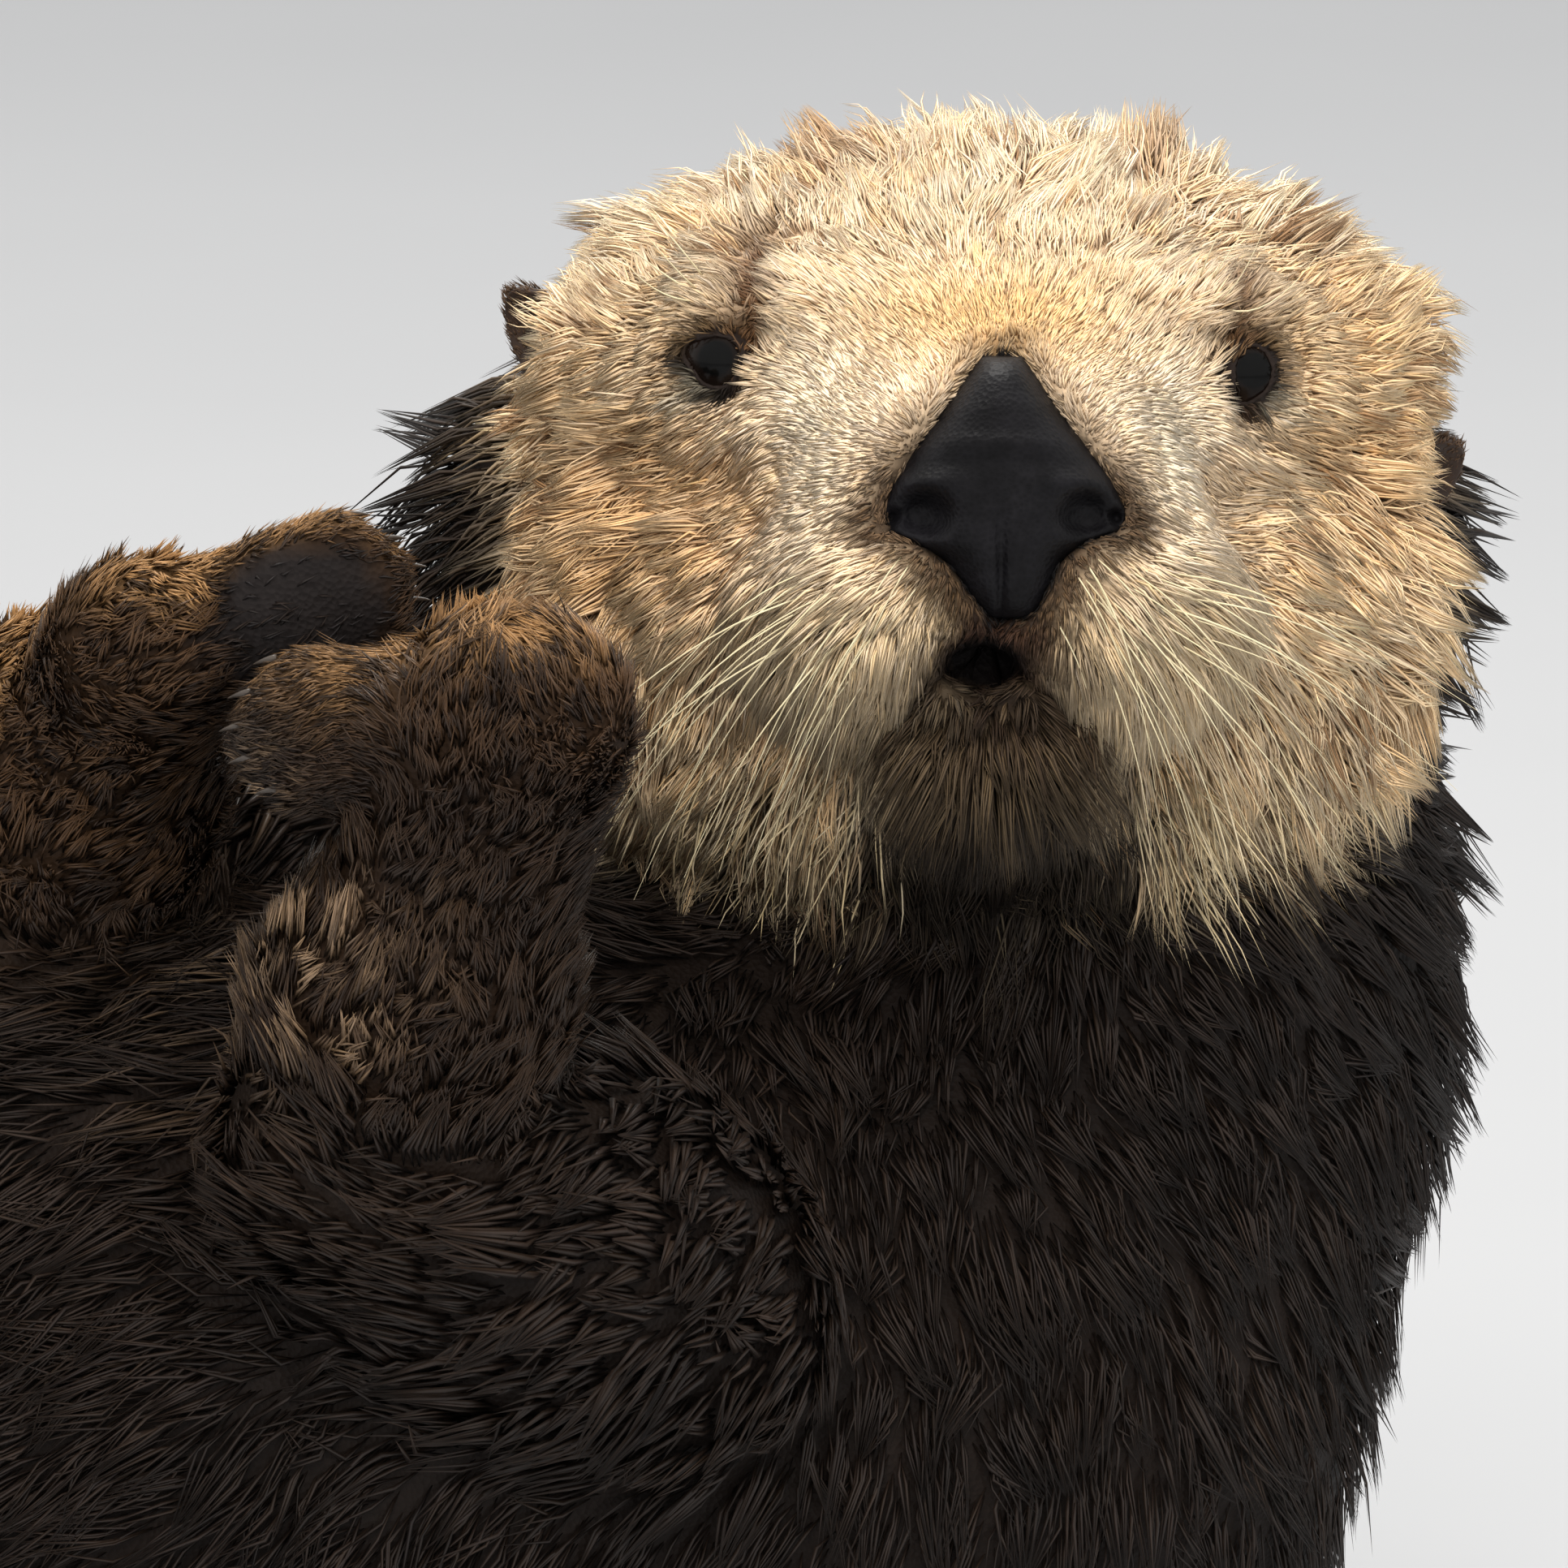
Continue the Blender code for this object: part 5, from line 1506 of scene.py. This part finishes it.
# ---- trunk, hind limbs and tail
flipper_share = sum(triangle_shares["flipper_" + s] for s in ("R", "L"))
shank_share = sum(triangle_shares["shank_" + s] for s in ("R", "L"))
level = 0.066e6 * (1 + 2.2 * triangle_shares["tail"] + 1.6 * shank_share) + 0.11e6 * flipper_share
density = np.where(rest & ~collar, level, 0.0) * SHARE
place, normal, uv = surface.scatter(density, 105)
shares = part_shares(place)
length, lift, width, clump, gap = body_traits(place, shares)
root_colour, tip_colour = colours_at(place, normal, shares)
local_density["now"] = np.full(len(place), 0.065e6 * SHARE)
grow("coat_body", place, normal, uv, lie_of(place, shares), length, lift, width / SHARE**0.5, clump, gap, root_colour, tip_colour, MAT_BODY, 205, False, 0.0012, 0.16, 0.15, wander=0.22, contrast=1.5)

# ================================================================ nose
def smooth_stations(count):
    """The nose's stations drawn through by a smooth curve."""
    s = NOSE_STATIONS[::-1]
    z = np.linspace(s[0, 0], s[-1, 0], count)
    out = [z]
    for column in (1, 2, 3):
        values = np.interp(z, s[:, 0], s[:, column])
        kernel = np.exp(-np.linspace(-2, 2, 7) ** 2)
        kernel /= kernel.sum()
        padded = np.concatenate([2 * values[0] - values[3:0:-1], values, 2 * values[-1] - values[-2:-5:-1]])
        out.append(np.convolve(padded, kernel, mode="valid"))
    return np.stack(out, axis=1)


def build_nose():
    rows, columns = 84, 84
    stations = smooth_stations(rows)
    grid = np.zeros((rows, columns, 3))
    for i, (z, left, right, front_y) in enumerate(stations):
        s = np.linspace(-1, 1, columns)
        half, centre = (right - left) / 2, (right + left) / 2
        x = centre + half * np.sin(s * math.pi / 2)
        u = np.sin(s * math.pi / 2)
        crown = (1 - np.abs(u) ** 2.4) ** 0.60
        end = min(1.0, math.sqrt(max(0.0, 1 - ((i / (rows - 1) - 0.5) * 2) ** 14)))
        seat = -0.0735 + 0.0085 * smooth(0.006, 0.028, z)
        y = seat + (front_y - seat) * crown * end
        grid[i] = np.stack([x, y, np.full(columns, z)], axis=1)
    x, y, z = grid[..., 0], grid[..., 1], grid[..., 2]
    front_share = smooth(-0.0745, -0.0790, y)
    push = np.zeros_like(x)
    for side, cx in ((-1, -0.0102), (1, 0.0180)):
        # a comma-shaped nostril: a round hollow that runs out and back in a slit
        dx, dz = (x - cx) * side, z - (-0.0006)
        round_part = np.exp(-((((dx - 0.0002) / 0.0047) ** 2 + (dz / 0.0038) ** 2) ** 1.6))
        slit_z = 0.0006 - 0.22 * (dx - 0.002)
        slit = np.exp(-(((dx - 0.0054) / 0.0040) ** 2) - (((dz - slit_z) / 0.0017) ** 2))
        push += 0.0066 * np.maximum(round_part, 0.70 * slit)
        push -= 0.0012 * np.exp(-(((dx - 0.0005) / 0.0065) ** 2) - (((dz - 0.0060) / 0.0018) ** 2))  # fold over the nostril
        push -= 0.0007 * np.exp(-((dx / 0.0060) ** 2) - (((dz + 0.0052) / 0.0015) ** 2))
    groove = np.exp(-(((x - 0.0032) / 0.0009) ** 2)) * smooth(0.004, -0.004, z)
    push += 0.0013 * groove
    push += 0.0005 * np.exp(-(((z - 0.0090) / 0.0011) ** 2)) * np.exp(-(((x - 0.003) / 0.010) ** 2))
    push -= 0.0006 * np.exp(-(((z - 0.0127) / 0.0016) ** 2)) * np.exp(-(((x - 0.003) / 0.010) ** 2))
    grid[..., 1] = y + push * front_share
    points = from_face(grid.reshape(-1, 3))
    back = grid.copy()
    back[..., 1] = -0.0715 + 0.0085 * smooth(0.006, 0.028, z)
    points = np.vstack([points, from_face(back.reshape(-1, 3))])
    faces = []
    m = rows * columns
    for i in range(rows - 1):
        for j in range(columns - 1):
            a, b, c, d = i * columns + j, i * columns + j + 1, (i + 1) * columns + j + 1, (i + 1) * columns + j
            faces.append((a, b, c, d))
            faces.append((m + a, m + d, m + c, m + b))
    for i in range(rows - 1):
        for j in (0, columns - 1):
            a, d = i * columns + j, (i + 1) * columns + j
            faces.append((a, d, m + d, m + a))
    for j in range(columns - 1):
        for i in (0, rows - 1):
            a, b = i * columns + j, i * columns + j + 1
            faces.append((a, b, m + b, m + a))
    return mesh_from("nose_pad", points, faces)


made, tree, shader = new_material("nose_skin", 0.50, 0.12)
grain = tree.nodes.new("ShaderNodeTexVoronoi")
grain.inputs["Scale"].default_value = 1100.0
at = tree.nodes.new("ShaderNodeTexCoord")
tree.links.new(at.outputs["Object"], grain.inputs["Vector"])
soft = add_noise(tree, 120.0, 4.0)
ramp = tree.nodes.new("ShaderNodeValToRGB")
ramp.color_ramp.elements[0].position = 0.35
ramp.color_ramp.elements[0].color = (0.0024, 0.0022, 0.0026, 1)
ramp.color_ramp.elements[1].position = 0.75
ramp.color_ramp.elements[1].color = (0.0068, 0.0064, 0.0076, 1)
tree.links.new(soft.outputs["Fac"], ramp.inputs["Fac"])
tree.links.new(scaled_by(tree, ramp.outputs["Color"], grain.outputs["Distance"], 0.75, 1.5), shader.inputs["Base Color"])
bump(tree, shader, grain.outputs["Distance"], 0.45, 0.0003)
nose_piece = bpy.data.objects.new("nose_pad", build_nose())
bpy.context.scene.collection.objects.link(nose_piece)
nose_piece.data.materials.append(made)
nose_piece.data.shade_smooth()
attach(nose_piece, "root")
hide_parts("nose")

# ================================================================ eyes
made, tree, shader = new_material("eye_glass", 0.20, 0.09, 0.0, 0.07)
at = tree.nodes.new("ShaderNodeTexCoord")
split = tree.nodes.new("ShaderNodeSeparateXYZ")
tree.links.new(at.outputs["Object"], split.inputs["Vector"])
ramp = tree.nodes.new("ShaderNodeValToRGB")
tree.links.new(split.outputs["Z"], ramp.inputs["Fac"])
span = tree.nodes.new("ShaderNodeMapRange")
span.inputs["From Min"].default_value = 0.0035
span.inputs["From Max"].default_value = 0.0079
tree.links.new(split.outputs["Z"], span.inputs["Value"])
tree.links.new(span.outputs["Result"], ramp.inputs["Fac"])
ramp.color_ramp.elements[0].position = 0.0
ramp.color_ramp.elements[0].color = (0.011, 0.007, 0.005, 1)
ramp.color_ramp.elements[1].position = 1.0
ramp.color_ramp.elements[1].color = (0.002, 0.002, 0.002, 1)
stop = ramp.color_ramp.elements.new(0.45)
stop.color = (0.0095, 0.0055, 0.0038, 1)
stop = ramp.color_ramp.elements.new(0.80)
stop.color = (0.0050, 0.0034, 0.0028, 1)
stop = ramp.color_ramp.elements.new(0.86)
stop.color = (0.002, 0.002, 0.002, 1)
streak = add_noise(tree, 700.0, 4.0)
tree.links.new(scaled_by(tree, ramp.outputs["Color"], streak.outputs["Fac"], 0.6, 1.4), shader.inputs["Base Color"])
MAT_EYE = made
for side, node in ((1, "eye_L"), (-1, "eye_R")):
    bm = bmesh.new()
    bmesh.ops.create_uvsphere(bm, u_segments=64, v_segments=40, radius=EYE_RADIUS)
    for v in bm.verts:
        rim = max(0.0, 1 - (v.co.xy.length / 0.0048) ** 2) if v.co.z > 0 else 0.0
        v.co.z += 0.0004 * rim**0.7
    mesh = bpy.data.meshes.new(node + "_ball")
    bm.to_mesh(mesh)
    bm.free()
    mesh.shade_smooth()
    mesh.materials.append(MAT_EYE)
    ball = bpy.data.objects.new(node + "_ball", mesh)
    bpy.context.scene.collection.objects.link(ball)
    ball.rotation_mode = "QUATERNION"
    ball.rotation_quaternion = Vector((0, 0, 1)).rotation_difference(Vector(GAZE[side] @ AXES))
    ball.location = Vector(EYES[side])
    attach(ball, "root")
    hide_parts(node)

# ================================================================ ears
made, tree, shader = new_material("ear_skin", 0.65, 0.35, 0.1)
soft = add_noise(tree, 400.0, 4.0)
ramp = tree.nodes.new("ShaderNodeValToRGB")
ramp.color_ramp.elements[0].color = (0.014, 0.008, 0.006, 1)
ramp.color_ramp.elements[1].color = (0.048, 0.027, 0.017, 1)
tree.links.new(soft.outputs["Fac"], ramp.inputs["Fac"])
tree.links.new(ramp.outputs["Color"], shader.inputs["Base Color"])
bump(tree, shader, soft.outputs["Fac"], 0.4, 0.0008)
MAT_EAR = made


def build_ear(name, node, side, middle, lean, turn):
    half_width, half_height, half_thick = 0.0067, 0.0085, 0.0034
    bm = bmesh.new()
    bmesh.ops.create_uvsphere(bm, u_segments=48, v_segments=32, radius=1)
    for v in bm.verts:
        a, b, c = v.co.x, v.co.y, v.co.z
        cup = max(0.0, -b) * max(0.0, 1 - (a * a + (c - 0.05) ** 2) * 1.15) ** 0.7
        rim = math.exp(-(((a * a + c * c) - 0.93) / 0.10) ** 2)
        p = Vector((a * half_width * (1 - 0.16 * c), (b * (1 + 0.25 * rim) + cup * 1.75) * half_thick + 0.0022 * (a * a), c * half_height))
        x = p.x * math.cos(turn) - p.y * math.sin(turn)
        y = p.x * math.sin(turn) + p.y * math.cos(turn)
        x, z = x * math.cos(lean) + p.z * math.sin(lean), -x * math.sin(lean) + p.z * math.cos(lean)
        v.co = Vector(from_face((middle[0] + side * x, middle[1] + y, middle[2] + z)))
    bmesh.ops.recalc_face_normals(bm, faces=bm.faces)
    mesh = bpy.data.meshes.new(name)
    bm.to_mesh(mesh)
    bm.free()
    mesh.materials.append(MAT_EAR)
    mesh.shade_smooth()
    made = bpy.data.objects.new(name, mesh)
    bpy.context.scene.collection.objects.link(made)
    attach(made, "root")
    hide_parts(node)
    unwrap(made)
    return made


for name, node, side, middle, lean, turn in (
    ("ear_shell_R", "ear_R", -1, (-0.0820, 0.010, 0.0350), math.radians(22), math.radians(38)),
    ("ear_shell_L", "ear_L", 1, (0.0835, 0.012, 0.0075), math.radians(38), math.radians(38)),
):
    ear = build_ear(name, node, side, middle, lean, turn)
    shell = Surface(ear.data)
    place, normal, uv = shell.scatter(np.full(len(shell.area), 2.2e6 * SHARE), 300 + side)
    q = to_face(place)
    n = len(place)
    up = unit(np.tile(np.array([side * 0.5, 0.2, 0.85]), (n, 1))) @ AXES
    local_density["now"] = np.full(n, 2.2e6 * SHARE)
    inner = (normal @ AXES.T)[:, 1] < -0.3
    edge = smooth(0.0, 0.008, q[:, 2] - middle[2])[:, None]
    root_colour = np.tile(np.array([0.030, 0.018, 0.011]), (n, 1))
    tip_colour = np.array([0.085, 0.050, 0.030]) * (1 - 0.3 * edge) + np.array([0.10, 0.06, 0.035]) * edge * 0.4
    grow(
        "coat_" + name, place, normal, uv, up, np.where(inner, 0.0016, 0.0030), np.full(n, 26.0), np.full(n, 0.00040), np.full(n, 0.3),
        np.full(n, 0.0016), root_colour, tip_colour * np.ones((n, 1)), MAT_BODY, 310 + side, False, 0.0003, 0.10, 0.0,
    )

# ================================================================ whiskers
made, tree, shader = new_material("whisker", 0.35, 0.5)
soft = add_noise(tree, 200.0, 2.0)
ramp = tree.nodes.new("ShaderNodeValToRGB")
ramp.color_ramp.elements[0].color = (0.520, 0.420, 0.230, 1)
ramp.color_ramp.elements[1].color = (0.820, 0.740, 0.510, 1)
tree.links.new(soft.outputs["Fac"], ramp.inputs["Fac"])
tree.links.new(ramp.outputs["Color"], shader.inputs["Base Color"])
MAT_WHISKER = made

tree_of_skin = KDTree(len(surface.co))
for i, p in enumerate(surface.co):
    tree_of_skin.insert(p, i)
tree_of_skin.balance()


def on_skin(x, z):
    """The foremost point of the skin at that place of the face."""
    away = np.hypot(q_skin[:, 0] - x, q_skin[:, 2] - z) + 10.0 * (q_skin[:, 1] > -0.01)
    ids = np.flatnonzero(away < max(0.0025, away.min() * 1.2))
    i = ids[np.argmin(q_skin[ids, 1])]
    return q_skin[i], surface.normal[i] @ AXES.T


def strand(points, radius, sides=5):
    """A round tapering hair through the points, as rings and faces."""
    points = np.asarray(points)
    n = len(points)
    tangent = unit(np.gradient(points, axis=0))
    ref = unit(np.cross(tangent, np.array([0.3, 0.2, 1.0])))
    other = np.cross(tangent, ref)
    rings = []
    for k in range(n):
        s = k / (n - 1)
        r = radius * (1 - 0.80 * s**1.1)
        a = np.linspace(0, 2 * math.pi, sides, endpoint=False)
        rings.append(points[k] + r * (np.cos(a)[:, None] * ref[k] + np.sin(a)[:, None] * other[k]))
    verts = np.vstack(rings + [points[:1], points[-1:] + tangent[-1:] * radius])
    faces = []
    for k in range(n - 1):
        for j in range(sides):
            a, b = k * sides + j, k * sides + (j + 1) % sides
            faces.append((a, b, b + sides, a + sides))
    for j in range(sides):
        faces.append((n * sides, (j + 1) % sides, j))
        a = (n - 1) * sides
        faces.append((n * sides + 1, a + j, a + (j + 1) % sides))
    return verts, faces


rng = np.random.default_rng(77)
whisker_verts, whisker_faces, base = [], [], 0
# where each side's long whiskers end, in the face frame (x, z), from the innermost to the outermost
ENDS = {
    -1: np.array([(-0.0280, -0.0560), (-0.0360, -0.0590), (-0.0420, -0.0650), (-0.0510, -0.0670), (-0.0740, -0.0650), (-0.0880, -0.0620), (-0.0960, -0.0460)]),
    1: np.array([(0.0240, -0.0500), (0.0330, -0.0640), (0.0410, -0.0700), (0.0560, -0.0690), (0.0672, -0.0664), (0.0840, -0.0500), (0.0903, -0.0388), (0.0888, -0.0239)]),
}
for side in (-1, 1):
    ends = ENDS[side]
    for k in range(30):
        outer = (k + rng.uniform(0.2, 0.8)) / 30  # 0 innermost, 1 outermost
        row = ((k * 3) % 5) / 4 + rng.uniform(-0.1, 0.1)
        at = np.clip(outer * 0.86 + 0.14 * (1 - row), 0, 1) * (len(ends) - 1)
        ex = np.interp(at, np.arange(len(ends)), ends[:, 0]) + rng.normal() * 0.0014
        ez = np.interp(at, np.arange(len(ends)), ends[:, 1]) + rng.normal() * 0.0020
        shorter = rng.uniform(0.45, 0.95) if k % 3 else rng.uniform(0.88, 1.04)
        rx = 0.0015 + side * (0.0135 + 0.0220 * outer + 0.0012 * rng.normal())
        rz = -0.0080 - 0.0180 * row * (1 - 0.30 * outer)
        root, out = on_skin(rx, rz)
        root = root - out * 0.0012
        reach = np.array([ex - rx, 0, ez - rz]) * shorter
        size = np.linalg.norm(reach)
        end = root + reach + np.array([0, 0.26 * size + rng.uniform(-0.004, 0.006), 0])
        end[1] = min(end[1], -0.036)
        straight = reach / size
        start_way = out * 0.16 + straight * 0.30 + np.array([side * 0.05, -0.05, 0.05])
        bend = end - straight * 0.34 * size + np.array([side * 0.05, -0.10, 0.05]) * size
        t = np.linspace(0, 1, 16)[:, None]
        path = (1 - t) ** 3 * root + 3 * (1 - t) ** 2 * t * (root + start_way * size) + 3 * (1 - t) * t**2 * bend + t**3 * end
        verts, faces = strand(from_face(path), rng.uniform(0.00015, 0.00023) * (0.75 + 0.25 * shorter))
        whisker_verts.append(verts)
        whisker_faces += [tuple(i + base for i in f) for f in faces]
        base += len(verts)
    # a few stiff hairs over each eye
    e = eye_in_face(side)
    for k in range(4):
        rx, rz = e[0] + rng.uniform(-0.008, 0.006), e[2] + 0.0110 + rng.uniform(0, 0.006)
        root, out = on_skin(rx, rz)
        end = root + out * 0.009 + np.array([side * rng.uniform(0.002, 0.012), 0.002, rng.uniform(0.006, 0.012)])
        t = np.linspace(0, 1, 9)[:, None]
        middle = root + out * 0.010
        path = (1 - t) ** 2 * root + 2 * (1 - t) * t * middle + t**2 * end
        verts, faces = strand(from_face(path), 0.00020, 4)
        whisker_verts.append(verts)
        whisker_faces += [tuple(i + base for i in f) for f in faces]
        base += len(verts)
mesh = mesh_from("whiskers", np.vstack(whisker_verts), whisker_faces)
mesh.materials.append(MAT_WHISKER)
mesh.shade_smooth()
whiskers = bpy.data.objects.new("whiskers", mesh)
bpy.context.scene.collection.objects.link(whiskers)
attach(whiskers, "root")

# ================================================================ claws
made, tree, shader = new_material("claw", 0.35, 0.5, 0.0, 0.2)
soft = add_noise(tree, 300.0, 3.0)
ramp = tree.nodes.new("ShaderNodeValToRGB")
ramp.color_ramp.elements[0].color = (0.016, 0.012, 0.010, 1)
ramp.color_ramp.elements[1].color = (0.060, 0.045, 0.033, 1)
tree.links.new(soft.outputs["Fac"], ramp.inputs["Fac"])
tree.links.new(ramp.outputs["Color"], shader.inputs["Base Color"])
MAT_CLAW = made
claw_verts, claw_faces, base = [], [], 0


def add_claw(root, way, bend, length, radius):
    global base
    t = np.linspace(0, 1, 9)[:, None]
    path = root + way * length * t + bend * length * 0.45 * t**2
    verts, faces = strand(path, radius, 8)
    claw_verts.append(verts)
    claw_faces.extend(tuple(i + base for i in f) for f in faces)
    base += len(verts)


for arm in ARMS.values():
    length = np.linalg.norm(arm["tip"] - arm["wrist"])
    half_width, half_thick = arm["paw"]
    for k in range(5):
        side = (k - 2) / 2
        toe = arm["wrist"] + arm["along"] * (length * (0.93 - 0.14 * side * side) + 0.0055) + arm["across"] * (side * half_width * 0.78) - arm["palm"] * (half_thick * 0.30)
        add_claw(toe + SHIFT, arm["along"], arm["palm"], 0.0042, 0.0009)
for leg in LEGS.values():
    for k in range(5):
        b = (k - 2) / 2
        reach = 1 + (0.13 * b - 0.05 + 0.018 - 0.12 * b**8)
        half = 0.023 + (FLIPPER_WIDTH / 2 - 0.0245)
        toe = leg["ankle"] + leg["aim"] * (FLIPPER_LENGTH * 0.965 * reach) + leg["out"] * (half * 0.94 * b + 0.010) + leg["sole"] * (0.012 * (b * b - 0.4) - 0.0035)
        add_claw(toe + SHIFT, leg["aim"], leg["sole"], 0.0060, 0.0012)
mesh = mesh_from("claws", np.vstack(claw_verts), claw_faces)
mesh.materials.append(MAT_CLAW)
mesh.shade_smooth()
claws = bpy.data.objects.new("claws", mesh)
bpy.context.scene.collection.objects.link(claws)
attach(claws, "root")

# ================================================================ the skin stands for the flesh
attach(skin, "root")
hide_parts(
    "head", "muzzle", "jaw", "neck", "chest", "belly", "rump", "tail", "upper_arm_L", "upper_arm_R", "forearm_L", "forearm_R",
    "forepaw_L", "forepaw_R", "thigh_L", "thigh_R", "shank_L", "shank_R", "hind_flipper_L", "hind_flipper_R",
)
print("coat triangles", coat_total, "skin", skin_triangles)

# ================================================================ floor, light and camera
bm = bmesh.new()
bmesh.ops.create_grid(bm, x_segments=1, y_segments=1, size=40.0)
mesh = bpy.data.meshes.new("floor")
bm.to_mesh(mesh)
bm.free()
floor = bpy.data.objects.new("floor", mesh)
bpy.context.scene.collection.objects.link(floor)
made, tree, shader = new_material("floor", 0.85, 0.2)
soft = add_noise(tree, 3.0, 4.0)
ramp = tree.nodes.new("ShaderNodeValToRGB")
ramp.color_ramp.elements[0].color = (0.395, 0.402, 0.415, 1)
ramp.color_ramp.elements[1].color = (0.425, 0.432, 0.445, 1)
tree.links.new(soft.outputs["Fac"], ramp.inputs["Fac"])
tree.links.new(ramp.outputs["Color"], shader.inputs["Base Color"])
mesh.materials.append(made)

world = bpy.data.worlds.new("studio")
bpy.context.scene.world = world
world.use_nodes = True
world.node_tree.nodes["Background"].inputs["Color"].default_value = (1.0, 0.995, 0.985, 1)
world.node_tree.nodes["Background"].inputs["Strength"].default_value = 0.95


def area_light(name, place, aim, size, power, colour=(1, 1, 1), seen_in_gloss=True):
    data = bpy.data.lights.new(name, "AREA")
    data.shape = "DISK"
    data.size = size
    data.energy = power
    data.color = colour
    made = bpy.data.objects.new(name, data)
    bpy.context.scene.collection.objects.link(made)
    made.location = Vector(place)
    made.rotation_euler = (Vector(aim) - Vector(place)).to_track_quat("-Z", "Y").to_euler()
    made.visible_glossy = seen_in_gloss
    return made


target = tuple(HEAD)
area_light("key", (HEAD[0] + 0.2, HEAD[1] - 0.9, HEAD[2] + 2.1), target, 1.5, 44, (1.0, 0.965, 0.92), False)
area_light("rim", (HEAD[0] - 0.2, HEAD[1] + 1.1, HEAD[2] + 1.7), target, 1.0, 24, (1.0, 0.97, 0.92))
area_light("fill", (HEAD[0] - 0.3, HEAD[1] - 2.3, HEAD[2] + 1.5), target, 1.6, 44, (1.0, 0.975, 0.94), False)
bpy.context.scene.view_settings.view_transform = "Standard"

DISTANCE, PX_PER_M = 3.2, 6700.0
forward = np.array([0, math.cos(PITCH), -math.sin(PITCH)])
upward = np.array([0, math.sin(PITCH), math.cos(PITCH)])
camera_data = bpy.data.cameras.new("camera")
camera_data.sensor_width = 36
camera_data.lens = 36 * DISTANCE / (1932 / PX_PER_M)
camera_data.clip_end = 100
camera = bpy.data.objects.new("camera", camera_data)
bpy.context.scene.collection.objects.link(camera)
camera.location = Vector(HEAD - forward * DISTANCE + np.array([1.0, 0, 0]) * ((966 - 1205) / PX_PER_M) + upward * ((640 - 966) / PX_PER_M))
camera.rotation_euler = (math.pi / 2 - PITCH, 0, 0)
bpy.context.scene.camera = camera

# the lips' folds leave two slivers folded onto themselves: both faces of each go, and the skin stays closed
bm = bmesh.new()
bm.from_mesh(skin.data)
seen_faces, slivers = {}, []
for face in bm.faces:
    key = tuple(sorted(v.index for v in face.verts))
    if key in seen_faces:
        slivers += [seen_faces[key], face]
    seen_faces[key] = face
if slivers:
    bmesh.ops.delete(bm, geom=slivers, context="FACES")
    bm.to_mesh(skin.data)
bm.free()
